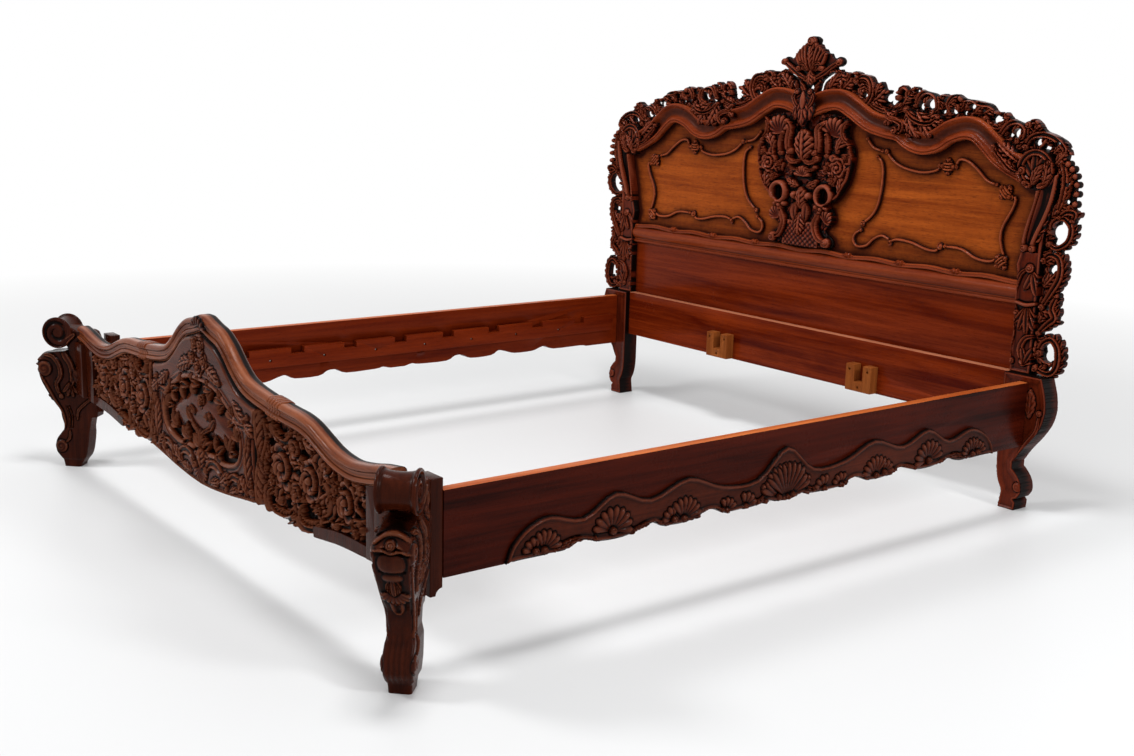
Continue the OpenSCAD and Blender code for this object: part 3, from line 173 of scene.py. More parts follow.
class Relief:
    """Carving as a grid of heights over the front view, all in millimetres."""

    def __init__(self, low, high, step=2.0, ground=0.0):
        self.step = step
        self.u = np.arange(low[0] - 3 * step, high[0] + 4 * step, step)
        self.v = np.arange(low[1] - 3 * step, high[1] + 4 * step, step)
        self.uu, self.vv = np.meshgrid(self.u, self.v, indexing="ij")
        self.h = np.full(self.uu.shape, float(ground))
        self.area = np.full(self.uu.shape, 1e6)

    def window(self, points, margin):
        """The part of the grid that holds some points and a margin round them."""
        p = np.asarray(points, float)
        lo, hi = p.min(0) - margin, p.max(0) + margin
        i = np.searchsorted(self.u, [lo[0], hi[0]])
        j = np.searchsorted(self.v, [lo[1], hi[1]])
        return slice(i[0], i[1]), slice(j[0], j[1])

    def around(self, p, r):
        """The window round a point, and how far right of it and above it each cell lies."""
        at = self.window([p], r + 6)
        return at, self.uu[at] - p[0], self.vv[at] - p[1]

    def lobe(self, p, turn, length, width, bend):
        """The window round a bent lobe. For each cell, how far it lies ahead of the lobe's root and off its
        middle line, and the share of the length."""
        c, s = math.cos(math.radians(turn)), math.sin(math.radians(turn))
        tip = (p[0] + length * (c - bend * s), p[1] + length * (s + bend * c))
        at = self.window([p, tip], width / 2 + abs(bend) * length * 0.3 + 7)
        x = (self.uu[at] - p[0]) * c + (self.vv[at] - p[1]) * s
        y = (self.vv[at] - p[1]) * c - (self.uu[at] - p[0]) * s
        t = np.clip(x / length, 0, 1)
        return at, x, np.abs(y - bend * length * t * t), t

    def put(self, at, distance, height, grow=None):
        """Lays an ornament over what is there, with a cut round it. Where grow is given, the board's outline
        takes the ornament in too."""
        cut = CUT_DEPTH * np.exp(-((np.maximum(distance, 0) / CUT_WIDTH) ** 2))
        self.h[at] = np.where(distance < 0, height, self.h[at] - cut)
        if grow is not None:
            self.area[at] = np.minimum(self.area[at], distance + grow)

    def within(self, ring):
        """Adds a closed outline to the board's area."""
        self.area = np.minimum(self.area, outline_distance(self.uu, self.vv, np.asarray(ring, float)))

    def without(self, ring, gap=0.0):
        """Takes a closed outline out of the board's area."""
        self.area = np.maximum(self.area, gap - outline_distance(self.uu, self.vv, np.asarray(ring, float)))

    def above(self, height):
        """Ends the board's area at a height."""
        self.area = np.maximum(self.area, height - self.vv)

    def hole(self, p, r, stretch, turn):
        """Pierces the board with an oval."""
        c, s = math.cos(math.radians(turn)), math.sin(math.radians(turn))
        x = ((self.uu - p[0]) * c + (self.vv - p[1]) * s) / stretch
        y = (self.vv - p[1]) * c - (self.uu - p[0]) * s
        self.area = np.maximum(self.area, r - np.hypot(x, y))

    def strand(self, path, width, low, high, section="hollow", thin=0.5, smooth=True, **put):
        """A strip along a path, which narrows towards both its ends."""
        path = curve(path) if smooth else np.asarray(path, float)
        at = self.window(path, width + 6)
        d, t = path_distance(self.uu[at], self.vv[at], path)
        half = width / 2 * (thin + (1 - thin) * np.sqrt(np.abs(np.sin(math.pi * t))))
        shape = np.interp(d / half, *SECTIONS[section])
        self.put(at, d - half, low + (high - low) * shape * (0.75 + 0.25 * half / (width / 2)), **put)

    def volute(self, p, r, low, high, turn=0.0, way=1, windings=1.6, **put):
        """A disc with a spiral cut into it round a raised eye."""
        at, x, y = self.around(p, r)
        d = np.hypot(x, y)
        q = np.clip(d / r, 0, 1)
        phase = way * (np.arctan2(y, x) - math.radians(turn)) / (2 * math.pi) + q * windings
        coil = 0.5 + 0.5 * np.cos(2 * math.pi * phase)
        shape = np.sqrt(1 - q**4) * (0.55 + 0.45 * coil)
        shape = np.where(q < 0.32, np.sqrt(np.clip(1.15 - (q / 0.32) ** 2 * 0.75, 0, None)), shape)
        self.put(at, d - r, low + (high - low) * shape, **put)

    def finger(self, p, turn, length, width, low, high, bend=0.0, section="hollow", **put):
        """One gouged lobe of a leaf, thin at its root and full near its rounded tip."""
        at, x, y, t = self.lobe(p, turn, length, width, bend)
        half = width / 2 * np.abs(np.sin(math.pi * t**1.3)) ** 0.48 + 0.01
        shape = np.interp(y / half, *SECTIONS[section]) * (0.42 + 0.58 * np.sin(math.pi * (0.12 + 0.62 * t)))
        away = np.maximum(np.maximum(-x, x - length), (y - half) * 0.85)
        self.put(at, away, low + (high - low) * shape, **put)

    def leaf(self, p, turn, length, width, lobes, low, high, bend=0.0, **put):
        """An acanthus leaf: fluted lobes that sweep forward from a bent midrib to a notched edge."""
        at, x, y, t = self.lobe(p, turn, length, width, bend)
        half = width / 2 * np.abs(np.sin(math.pi * (0.05 + 0.95 * t) ** 1.15)) ** 0.7 + 0.01
        off = np.clip(y / half, 0, 1)
        ridge = np.abs(np.cos(math.pi * lobes * (t - 0.3 * off))) ** 0.6
        edge = half * (0.76 + 0.24 * np.abs(np.cos(math.pi * lobes * (t - 0.3))) ** 0.7)
        inner = ease(off / 0.3)
        ridge = ridge * inner + (1 - inner) * 0.85
        shape = (0.42 + 0.58 * np.sin(math.pi * (0.1 + 0.66 * t))) * (0.34 + 0.66 * ridge)
        shape *= 1 - 0.28 * off**2
        shape += 0.16 * np.exp(-((off / 0.12) ** 2)) - 0.2 * np.exp(-(((off - 0.24) / 0.08) ** 2))
        shape *= np.sqrt(np.clip(1.04 - (y / edge) ** 6, 0.03, 1))
        away = np.maximum(np.maximum(-x, x - length), (y - edge) * 0.85)
        self.put(at, away, low + (high - low) * shape, **put)

    def frond(self, path, count, length, width, side, lean, low, high, share=(0.0, 1.0), **put):
        """Gouged lobes that spring from one side of a path, and lean along it."""
        path = curve(path)
        run = np.concatenate([[0], np.cumsum(np.linalg.norm(np.diff(path, axis=0), axis=1))])

        def point(t):
            return np.array([np.interp(t * run[-1], run, path[:, i]) for i in (0, 1)])

        for k in range(count):
            t = share[0] + (share[1] - share[0]) * (k + 0.5) / count
            ahead = point(min(t + 0.04, 1)) - point(t)
            if np.linalg.norm(ahead) < 1e-6:
                ahead = path[-1] - path[-2]
            heading = math.degrees(math.atan2(ahead[1], ahead[0]))
            size = length * (0.6 + 0.4 * math.sin(math.pi * (k + 0.5) / count))
            self.finger(point(t), heading + side * lean, size, width, low, high, -side * 0.25, **put)

    def scroll(self, path, width, low, high, start=0.0, end=0.0, way=(1, 1), section="hollow", **put):
        """A scrolled strand with a volute of the given radius at either end."""
        self.strand(path, width, low, high, section, **put)
        path = np.asarray(path, float)
        for p, q, r, w in ((path[0], path[1], start, way[0]), (path[-1], path[-2], end, way[1])):
            if r:
                turn = math.degrees(math.atan2(q[1] - p[1], q[0] - p[0]))
                self.volute(p, r, low, high + 2, turn, w, **put)

    def thicket(self, seed, spacing, flow, low, high, length, width, margin, spread=45):
        """Fills the board's area with small leaves that follow a heading, so that no ground shows bare."""
        random = np.random.default_rng(seed)
        for u in np.arange(self.u[0], self.u[-1], spacing):
            for v in np.arange(self.v[0], self.v[-1], spacing):
                p = np.array([u, v]) + random.uniform(-0.45, 0.45, 2) * spacing
                turn, size = flow(p) + random.uniform(-spread, spread), random.uniform(0.75, 1.15)
                bow, top = random.uniform(-0.3, 0.3), low + (high - low) * random.uniform(0.7, 1.1)
                i, j = np.searchsorted(self.u, p[0]), np.searchsorted(self.v, p[1])
                if i < len(self.u) and j < len(self.v) and self.area[i, j] < -margin:
                    self.leaf(p, turn, length * size, width * size * 1.35, 3, low, top, bow)

    def shell(self, p, turn, r, ribs, spread, low, high, **put):
        """Ribs that spread from a point, to both sides of a heading."""
        at, x, y = self.around(p, r)
        d = np.hypot(x, y)
        a = (np.degrees(np.arctan2(y, x)) - turn + 180) % 360 - 180
        rib = np.abs(np.cos(math.pi * ribs * (a / spread + 0.5) + math.pi / 2))
        edge = r * (0.86 + 0.14 * rib)
        q = np.clip(d / edge, 0, 1)
        shape = (0.3 + 0.7 * q**1.3) * (0.55 + 0.45 * rib**0.7 * ease(q * 2))
        shape *= np.sqrt(np.clip(1.02 - q**8, 0, 1))
        away = np.maximum(d - edge, (np.abs(a) - spread / 2) * math.pi / 180 * np.maximum(d, 1))
        self.put(at, away, low + (high - low) * shape, **put)

    def flower(self, p, r, petals, low, high, turn=0.0, **put):
        """A rose: two rings of cupped petals round a bud."""
        for ring, start, size, foot in ((0.56, 0, 0.46, 0.0), (0.27, 180 / petals, 0.34, 0.22)):
            for k in range(petals):
                a = math.radians(turn + start + 360 * k / petals)
                centre = p[0] + r * ring * math.cos(a), p[1] + r * ring * math.sin(a)
                at, x, y = self.around(centre, r * size)
                q = np.hypot(x, y) / (r * size)
                out = (x * math.cos(a) + y * math.sin(a)) / (r * size)
                cup = 0.3 + 0.36 * np.clip(q, 0, 1) ** 2 + 0.2 * out
                cup *= np.sqrt(np.clip(1.04 - q**8, 0.1, 1))
                self.put(at, (q - 1) * r * size, low + (high - low) * (foot + cup), **put)
        self.bead(p, r * 0.21, low + (high - low) * 0.4, high, **put)

    def bead(self, p, r, low, high, **put):
        """A half ball."""
        at, x, y = self.around(p, r)
        d = np.hypot(x, y)
        self.put(at, d - r, low + (high - low) * np.sqrt(np.clip(1 - (d / r) ** 2, 0.02, 1)), **put)

    def round_edge(self, reach, drop):
        """Rounds the board's edge over."""
        q = 1 - np.clip(-self.area / reach, 0, 1)
        self.h -= drop * (1 - np.sqrt(np.clip(1 - q * q, 0, 1)))

    def tone(self):
        """How deep a point lies below what is round it, near and further off, about 0.5 where level: it
        paints shade in the hollows and a highlight on the ridges.
        """
        mask = (self.area < 0).astype(float) + 1e-4
        total = np.full(self.h.shape, 0.5)
        for reach, share in ((5, 7.5), (13, 15)):
            r = max(1, round(reach / self.step))
            total += (blur(self.h * mask, r) / blur(mask, r) - self.h) / share
        return np.clip(total, 0, 1)


# Cells of the grid by which of their corners lie inside: 0 to 3 are corners,
# 4 to 7 the crossings of their sides
CELLS = {
    1: [(0, 4, 7)], 2: [(1, 5, 4)], 3: [(0, 1, 5, 7)], 4: [(2, 6, 5)], 5: [(0, 4, 7), (2, 6, 5)],
    6: [(1, 2, 6, 4)], 7: [(0, 1, 2, 6, 7)], 8: [(3, 7, 6)], 9: [(0, 4, 6, 3)], 10: [(1, 5, 4), (3, 7, 6)],
    11: [(0, 1, 5, 6, 3)], 12: [(2, 3, 7, 5)], 13: [(0, 4, 5, 2, 3)], 14: [(1, 2, 3, 7, 4)],
    15: [(0, 1, 2, 3)],
}


def front_faces(relief):
    """The front of a board as points (u, v, height, tone), faces and the directed sides of its rim."""
    near = 0.25 * relief.step
    sd = np.where(relief.area < 0, np.minimum(relief.area, -near), np.maximum(relief.area, near))
    sd = np.clip(sd, -relief.step, relief.step)
    inside = sd < 0
    h, known = relief.h.copy(), inside.copy()
    shifts = [(s, a) for a in (0, 1) for s in (-1, 1)]
    for _ in range(2):
        weight = sum(np.roll(known, *shift).astype(float) for shift in shifts)
        total = sum(np.roll(np.where(known, h, 0), *shift) for shift in shifts)
        reached = ~known & (weight > 0)
        h = np.where(reached, total / np.maximum(weight, 1), h)
        known |= reached
    field = np.stack([relief.uu, relief.vv, h, relief.tone()], -1)
    number = np.full(inside.shape, -1)
    number[inside] = np.arange(inside.sum())
    points, crossing, count = [field[inside]], [], int(inside.sum())
    less, more = slice(0, -1), slice(1, None)
    for a, b in (((less, slice(None)), (more, slice(None))), ((slice(None), less), (slice(None), more))):
        cut = inside[a] != inside[b]
        t = (sd[a] / (sd[a] - sd[b] + 1e-12))[cut][:, None]
        points.append(field[a][cut] * (1 - t) + field[b][cut] * t)
        ids = np.full(cut.shape, -1)
        ids[cut] = count + np.arange(cut.sum())
        count += int(cut.sum())
        crossing.append(ids)
    along, up = crossing
    corners = (less, less), (more, less), (more, more), (less, more)
    corner = [number[k] for k in corners] + [along[:, :-1], up[1:, :], along[:, 1:], up[:-1, :]]
    kind = sum(inside[k] * 2**i for i, k in enumerate(corners))
    faces, rim = [], []
    for case, shapes in CELLS.items():
        here = kind == case
        if not here.any():
            continue
        for shape in shapes:
            faces += np.stack([corner[k][here] for k in shape], 1).tolist()
            for a, b in zip(shape, shape[1:] + shape[:1]):
                if a > 3 and b > 3:
                    rim.append(np.stack([corner[a][here], corner[b][here]], 1))
    return np.vstack(points), faces, np.vstack(rim)


def back_faces(points, rim):
    """Flat faces that close a board's back inside its rim, which is given as pairs of point numbers."""
    bm = bmesh.new()
    verts = {int(i): bm.verts.new((points[i][0], points[i][1], 0)) for i in np.unique(rim)}
    number = {v: k for k, v in verts.items()}
    edges = [bm.edges.new((verts[a], verts[b])) for a, b in rim]
    bmesh.ops.triangle_fill(bm, edges=edges, use_beauty=True, normal=(0, 0, 1))
    out = []
    for f in bm.faces:
        ids = [number[v] for v in f.verts]
        a, b, c = (points[i][:2] for i in ids)
        winding = (b[0] - a[0]) * (c[1] - a[1]) - (b[1] - a[1]) * (c[0] - a[0])
        out.append(ids if winding < 0 else ids[::-1])
    bm.free()
    return out


def carve(name, relief, place, material, nodes=(), back=0.0):
    """Makes a closed board of a relief. place turns (u, v, height) into metres in the bed's own frame."""
    points, faces, rim = front_faces(relief)
    points[:, 2] = np.maximum(points[:, 2], back + 1)
    rim_ids = np.unique(rim)
    twin = {int(k): len(points) + i for i, k in enumerate(rim_ids)}
    low = points[rim_ids].copy()
    # The back takes the darker tone: painted shade on the back and down the rim walls
    low[:, 2:] = back, BACK_TONE
    points = np.vstack([points, low])
    faces += [(b, a, twin[a], twin[b]) for a, b in rim.tolist()]
    faces += back_faces(points, [(twin[a], twin[b]) for a, b in rim.tolist()])
    probe = place(*np.eye(4, 3, -1).T)
    if np.linalg.det(probe[1:] - probe[0]) < 0:
        faces = [f[::-1] for f in faces]
    return add_piece(name, place(*points[:, :3].T), faces, nodes, material, 48, points[:, 3])


def new_object(name, data):
    """A new object in the scene."""
    made = bpy.data.objects.new(name, data)
    bpy.context.scene.collection.objects.link(made)
    return made


def add_piece(name, xyz, faces, nodes, material, sharp, tone=None):
    """A piece of the bed in metres, in place of the named nodes. Edges above an angle stay sharp."""
    mesh = bpy.data.meshes.new(name)
    mesh.from_pydata(np.asarray(xyz).tolist(), [], [list(f) for f in faces])
    mesh.validate()
    mesh.materials.append(material)
    return finish_piece(name, mesh, nodes, sharp, tone)


def finish_piece(name, mesh, nodes, sharp, tone):
    """Shades a mesh, gives it its tones, and makes it a piece of the bed."""
    if tone is not None:
        layer = mesh.attributes.new("tone", "FLOAT", "POINT")
        layer.data.foreach_set("value", np.asarray(tone, np.float32))
    mesh.shade_smooth()
    mesh.set_sharp_from_angle(angle=math.radians(sharp))
    piece = new_object(name, mesh)
    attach(piece, "root")
    if nodes:
        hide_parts(*nodes)
    return piece


def front_of(back_y, side=1):
    """Stands a relief up facing the foot of the bed, mirrored where side is -1. Its back is at back_y."""
    def place(u, v, h):
        return np.stack([side * u, back_y - h, v], 1) * MM
    return place


def faced(faces, side):
    """Faces that look outwards again after they are mirrored to the left."""
    return faces if side > 0 else [f[::-1] for f in faces]


# Mouldings that follow a path, and shapes that repeat, made with Geometry Nodes


def geometry_tree(name):
    """A tree that takes a base, a shape and a material: the tree, the identifiers of its inputs, its input
    sockets, and the shape as geometry."""
    tree = bpy.data.node_groups.new(name, "GeometryNodeTree")
    places = {}
    for text, kind in (("Geometry", "Geometry"), ("Shape", "Object"), ("Material", "Material")):
        socket = tree.interface.new_socket(text, in_out="INPUT", socket_type="NodeSocket" + kind)
        places[text] = socket.identifier
    tree.interface.new_socket("Geometry", in_out="OUTPUT", socket_type="NodeSocketGeometry")
    given = tree.nodes.new("NodeGroupInput").outputs
    info = tree.nodes.new("GeometryNodeObjectInfo")
    tree.links.new(given["Shape"], info.inputs["Object"])
    return tree, places, given, info.outputs["Geometry"]


def ended(tree, geometry, material):
    """Ends a tree with real geometry in its material."""
    real = tree.nodes.new("GeometryNodeRealizeInstances")
    dressed = tree.nodes.new("GeometryNodeSetMaterial")
    tree.links.new(geometry, real.inputs[0])
    tree.links.new(real.outputs[0], dressed.inputs["Geometry"])
    tree.links.new(material, dressed.inputs["Material"])
    tree.links.new(dressed.outputs[0], tree.nodes.new("NodeGroupOutput").inputs["Geometry"])


def moulding_tree():
    """Sweeps a closed section along a path that lies flat."""
    tree, places, given, shape = geometry_tree("moulding along a path")
    add, link = tree.nodes.new, tree.links.new
    path, ring = add("GeometryNodeMeshToCurve"), add("GeometryNodeMeshToCurve")
    upright, sweep = add("GeometryNodeSetCurveNormal"), add("GeometryNodeCurveToMesh")
    upright.mode = "Z_UP"
    sweep.inputs["Fill Caps"].default_value = True
    link(given["Geometry"], path.inputs["Mesh"])
    link(path.outputs["Curve"], upright.inputs["Curve"])
    link(upright.outputs["Curve"], sweep.inputs["Curve"])
    link(shape, ring.inputs["Mesh"])
    link(ring.outputs["Curve"], sweep.inputs["Profile Curve"])
    ended(tree, sweep.outputs["Mesh"], given["Material"])
    return tree, places


def repeat_tree():
    """Sets a shape on each point, turned and sized by the point's own values."""
    tree, places, given, shape = geometry_tree("shape on each point")
    sown = tree.nodes.new("GeometryNodeInstanceOnPoints")
    tree.links.new(given["Geometry"], sown.inputs["Points"])
    tree.links.new(shape, sown.inputs["Instance"])
    for text, place in (("turn", "Rotation"), ("size", "Scale")):
        value = tree.nodes.new("GeometryNodeInputNamedAttribute")
        value.data_type = "FLOAT_VECTOR"
        value.inputs["Name"].default_value = text
        tree.links.new(value.outputs["Attribute"], sown.inputs[place])
    ended(tree, sown.outputs["Instances"], given["Material"])
    return tree, places


MOULDING, REPEAT = moulding_tree(), repeat_tree()
blank = bpy.data.materials.new("blank")


def draft(name, points, edges=(), faces=()):
    """A passing object for a tree to work on."""
    mesh = bpy.data.meshes.new(name)
    mesh.from_pydata([tuple(map(float, p)) for p in points], list(edges), [list(f) for f in faces])
    return new_object(name, mesh)


def grown(tree_and_places, base, shape):
    """Runs a tree on a base with a second object, and returns its points and faces."""
    tree, places = tree_and_places
    modifier = base.modifiers.new("growth", "NODES")
    modifier.node_group = tree
    modifier[places["Shape"]] = shape
    modifier[places["Material"]] = blank
    mesh = bpy.data.meshes.new_from_object(base.evaluated_get(bpy.context.evaluated_depsgraph_get()))
    points = np.zeros(len(mesh.vertices) * 3)
    mesh.vertices.foreach_get("co", points)
    faces = [list(f.vertices) for f in mesh.polygons]
    bpy.data.meshes.remove(mesh)
    for made in (base, shape):
        data = made.data
        bpy.data.objects.remove(made)
        bpy.data.meshes.remove(data)
    return points.reshape(-1, 3), faces


def moulding(path, section):
    """A moulding along a path of the front view, as (u, v, height, tone) points and faces. The section runs
    anticlockwise, as (to the left, towards the front)."""
    section = np.asarray(section, float)
    n, m = len(path), len(section)
    line = draft("path", [(u, v, 0) for u, v in path], [(i, i + 1) for i in range(n - 1)])
    ring = draft("section", [(-a, -h, 0) for a, h in section], [(i, (i + 1) % m) for i in range(m)])
    points, faces = grown(MOULDING, line, ring)
    tone = np.tile(section_tone(section), n)[:len(points)]
    return np.column_stack([points, np.resize(tone, len(points))]), faces


def section_tone(section):
    """Painted shade in a section's hollows and a painted highlight on its ridges: darker in the hollows,
    lighter on the ridges.
    """
    around = sum(np.roll(section[:, 1], k) for k in (-2, -1, 1, 2)) / 4
    return np.clip(0.5 + (around - section[:, 1]) / 14, 0.1, 0.95)


def repeated(places, shape):
    """A shape, as (points, faces), at each place, as (point, turn in degrees, size)."""
    at, turns, sizes = zip(*places)
    base = draft("places", at)
    for text, values in (("turn", np.radians(turns)), ("size", sizes)):
        made = base.data.attributes.new(text, "FLOAT_VECTOR", "POINT")
        made.data.foreach_set("vector", np.asarray(values, float).ravel())
    return grown(REPEAT, base, draft("shape", shape[0], (), shape[1]))


def joined(parts):
    """Several (points, faces) as one."""
    points, faces, at = [], [], 0
    for p, f in parts:
        points.append(np.asarray(p, float))
        faces += [[k + at for k in face] for face in f]
        at += len(p)
    return np.vstack(points), faces


def tube_faces(rows, count):
    """Faces of a tube with closed ends, from rings of points that follow each other."""
    faces = []
    for i in range(0, (rows - 1) * count, count):
        for k in range(count):
            j = (k + 1) % count
            faces.append([i + k, i + j, i + count + j, i + count + k])
    return faces + [list(range(count))[::-1], list(range((rows - 1) * count, rows * count))]


def turned(profile, count):
    """A closed lathe shape round Z, from (radius, height) points that run from its bottom to its top."""
    a = np.linspace(0, 2 * math.pi, count, endpoint=False)
    rows = [np.stack([r * np.cos(a), r * np.sin(a), np.full(count, z)], 1) for r, z in profile]
    return np.vstack(rows), tube_faces(len(profile), count)


# Finishes: node groups that every wood shares

FLOAT, COLOUR, VECTOR = "NodeSocketFloat", "NodeSocketColor", "NodeSocketVector"
PORE = (0.004, 0.001, 0.0005, 1)
# Turns that lay the grain, which runs along X, along an axis of the bed
GRAIN_TURNS = {"x": (0, 0, 0), "y": (0, 0, -math.pi / 2), "z": (0, math.pi / 2, 0)}


def group(name, inputs, outputs):
    """A new shader group, what it is given, and its output node."""
    tree = bpy.data.node_groups.new(name, "ShaderNodeTree")
    for way, sockets in (("INPUT", inputs), ("OUTPUT", outputs)):
        for text, kind in sockets.items():
            tree.interface.new_socket(text, in_out=way, socket_type=kind)
    return tree, tree.nodes.new("NodeGroupInput").outputs, tree.nodes.new("NodeGroupOutput")


def fill(tree, made, inputs):
    """Links or sets the inputs of a node."""
    for place, value in inputs.items():
        if isinstance(value, bpy.types.NodeSocket):
            tree.links.new(value, made.inputs[place])
        else:
            made.inputs[place].default_value = value


def node(tree, kind, inputs, **values):
    """The outputs of a new shader node, with its own values set and its inputs linked or set."""
    made = tree.nodes.new("ShaderNode" + kind)
    for key, value in values.items():
        setattr(made, key, value)
    fill(tree, made, inputs)
    return made.outputs


def noise(tree, vector, scale, detail, roughness=0.55, distortion=0.0):
    inputs = {"Vector": vector, "Scale": scale, "Detail": detail, "Roughness": roughness,
        "Distortion": distortion}
    return node(tree, "TexNoise", inputs)["Fac"]


def stretched(tree, vector, scale):
    return node(tree, "Mapping", {"Vector": vector, "Scale": scale})["Vector"]


def levels(tree, value, low, high, to_low=0.0, to_high=1.0):
    return node(tree, "MapRange", {0: value, 1: low, 2: high, 3: to_low, 4: to_high})[0]


def mixed(tree, factor, a, b):
    return node(tree, "Mix", {0: factor, 6: a, 7: b}, data_type="RGBA")[2]


def maths(tree, operation, a, b):
    return node(tree, "Math", {0: a, 1: b}, operation=operation)[0]


def plus(tree, a, b):
    return maths(tree, "ADD", a, b)


def times(tree, a, b):
    return maths(tree, "MULTIPLY", a, b)


def bumped(tree, height, strength, distance):
    return node(tree, "Bump", {"Height": height, "Strength": strength, "Distance": distance})["Normal"]


def wood_grain():
    """Grain that runs along X: broad streaks, fine fibres and short dark pores."""
    tree, given, out = group("wood grain",
        {"Vector": VECTOR, "Dark": COLOUR, "Light": COLOUR, "Streaks": FLOAT, "Fibres": FLOAT,
        "Pores": FLOAT},
        {"Color": COLOUR, "Height": FLOAT})
    vector = given["Vector"]
    broad = noise(tree, stretched(tree, vector, (0.55, 5, 5)), 2.4, 4, 0.6, 0.9)
    bands = noise(tree, stretched(tree, vector, (0.6, 22, 22)), 2.2, 3, 0.5, 0.5)
    fibre = noise(tree, stretched(tree, vector, (6, 260, 260)), 2.0, 3, 0.6)
    pore = noise(tree, stretched(tree, vector, (26, 620, 620)), 1.6, 1, 0.5)
    streak = plus(tree, levels(tree, broad, 0.3, 0.7, 0, 0.6), levels(tree, bands, 0.35, 0.65, 0, 0.4))
    share = plus(tree, times(tree, plus(tree, streak, -0.5), given["Streaks"]), 0.5)
    fine = times(tree, plus(tree, fibre, -0.5), given["Fibres"])
    shade = mixed(tree, plus(tree, share, fine), given["Dark"], given["Light"])
    dash = times(tree, levels(tree, pore, 0.62, 0.72), given["Pores"])
    fill(tree, out, {"Color": mixed(tree, dash, shade, mixed(tree, 0.75, given["Dark"], PORE)),
        "Height": maths(tree, "SUBTRACT", times(tree, fibre, 0.5), dash)})
    return tree


def glaze_shade_and_highlight():
    """Dark glazing in the hollows, deepened into painted shade, and worn bare wood on the ridges, lightened
    into a painted highlight.
    """
    tree, given, out = group("glazing and wear with painted shade and highlight",
        {"Color": COLOUR, "Tone": FLOAT, "Glazing and shade": COLOUR, "Wear and highlight": COLOUR, "Vector": VECTOR,
        "Amount": FLOAT},
        {"Color": COLOUR, "Hollow": FLOAT})
    speckle = noise(tree, given["Vector"], 55, 4, 0.65)
    shift = plus(tree, given["Tone"], levels(tree, speckle, 0, 1, -0.07, 0.07))
    # Painted shade: the hollows darken towards the glazing colour. Painted highlight: the ridges lighten
    # towards the worn colour
    hollow = times(tree, levels(tree, shift, 0.5, 0.76), given["Amount"])
    ridge = times(tree, levels(tree, shift, 0.36, 0), given["Amount"])
    glazed_and_shaded = mixed(tree, hollow, given["Color"], given["Glazing and shade"])
    fill(tree, out, {"Color": mixed(tree, times(tree, ridge, 0.34), glazed_and_shaded, given["Wear and highlight"]),
        "Hollow": hollow})
    return tree


def lacquer():
    """Gloss that varies softly, with fine dust and handling marks, as roughness and a small height."""
    tree, given, out = group("lacquer", {"Vector": VECTOR, "Low": FLOAT, "High": FLOAT, "Hollow": FLOAT},
        {"Roughness": FLOAT, "Height": FLOAT})
    cloud = noise(tree, given["Vector"], 7, 4, 0.6)
    dust = noise(tree, given["Vector"], 90, 3, 0.7)
    mark = plus(tree, times(tree, cloud, 0.7), times(tree, dust, 0.3))
    span = maths(tree, "SUBTRACT", given["High"], given["Low"])
    rough = plus(tree, given["Low"], times(tree, levels(tree, mark, 0.32, 0.68), span))
    fill(tree, out, {"Roughness": plus(tree, rough, times(tree, given["Hollow"], 0.25)),
        "Height": plus(tree, times(tree, dust, 0.5), cloud)})
    return tree


def colour(rgb):
    """A colour as it looks on screen, from 0 to 255."""
    x = np.array(rgb) / 255
    return (*np.where(x <= 0.04045, x / 12.92, ((x + 0.055) / 1.055) ** 2.4), 1)


GRAIN, GLAZE_SHADE_HIGHLIGHT, LACQUER = wood_grain(), glaze_shade_and_highlight(), lacquer()


def new_material(name):
    material = bpy.data.materials.new(name)
    material.use_nodes = True
    return material, material.node_tree, material.node_tree.nodes["Principled BSDF"]


def wood(name, dark, light, along, gloss=(0.1, 0.24), shine=0.06, streaks=1.0, fibres=0.6, pores=0.5,
        glaze_and_shade=(9, 2, 1), wear_and_highlight=(150, 84, 62), carving=1.0, ripple=0.25):
    """A lacquered wood with its grain along one axis of the bed, with painted shade in its hollows and a
    painted highlight on its ridges, as much as carving gives.
    """
    material, tree, shader = new_material(name)
    place = node(tree, "TexCoord", {})["Object"]
    laid = node(tree, "Mapping", {"Vector": place, "Rotation": GRAIN_TURNS[along]})["Vector"]
    grain = node(tree, "Group", {"Vector": laid, "Dark": colour(dark), "Light": colour(light),
        "Streaks": streaks, "Fibres": fibres, "Pores": pores}, node_tree=GRAIN)
    tone = node(tree, "Attribute", {}, attribute_name="tone")["Fac"]
    finish = node(tree, "Group", {"Color": grain["Color"], "Tone": tone, "Vector": place,
        "Glazing and shade": colour(glaze_and_shade), "Wear and highlight": colour(wear_and_highlight), "Amount": carving}, node_tree=GLAZE_SHADE_HIGHLIGHT)
    film = node(tree, "Group", {"Vector": place, "Hollow": finish["Hollow"], "Low": gloss[0],
        "High": gloss[1]},
        node_tree=LACQUER)
    height = plus(tree, times(tree, grain["Height"], 0.35), times(tree, film["Height"], ripple))
    fill(tree, shader, {"Base Color": finish["Color"], "Roughness": film["Roughness"],
        "Normal": bumped(tree, height, 0.35, 0.0012), "Specular IOR Level": shine})
    return material


def metal(name, base, rough):
    """Brushed steel, with a little tarnish."""
    material, tree, shader = new_material(name)
    place = node(tree, "TexCoord", {})["Object"]
    brushed = noise(tree, stretched(tree, place, (900, 900, 30)), 1.2, 3)
    tarnish = levels(tree, noise(tree, place, 60, 4, 0.6), 0.4, 0.7)
    dull = (base[0] * 0.5, base[1] * 0.46, base[2] * 0.42, 1)
    fill(tree, shader, {"Base Color": mixed(tree, tarnish, base, dull), "Metallic": 1.0,
        "Roughness": levels(tree, brushed, 0.3, 0.7, rough - 0.1, rough + 0.12),
        "Normal": bumped(tree, brushed, 0.2, 0.0003)})
    return material
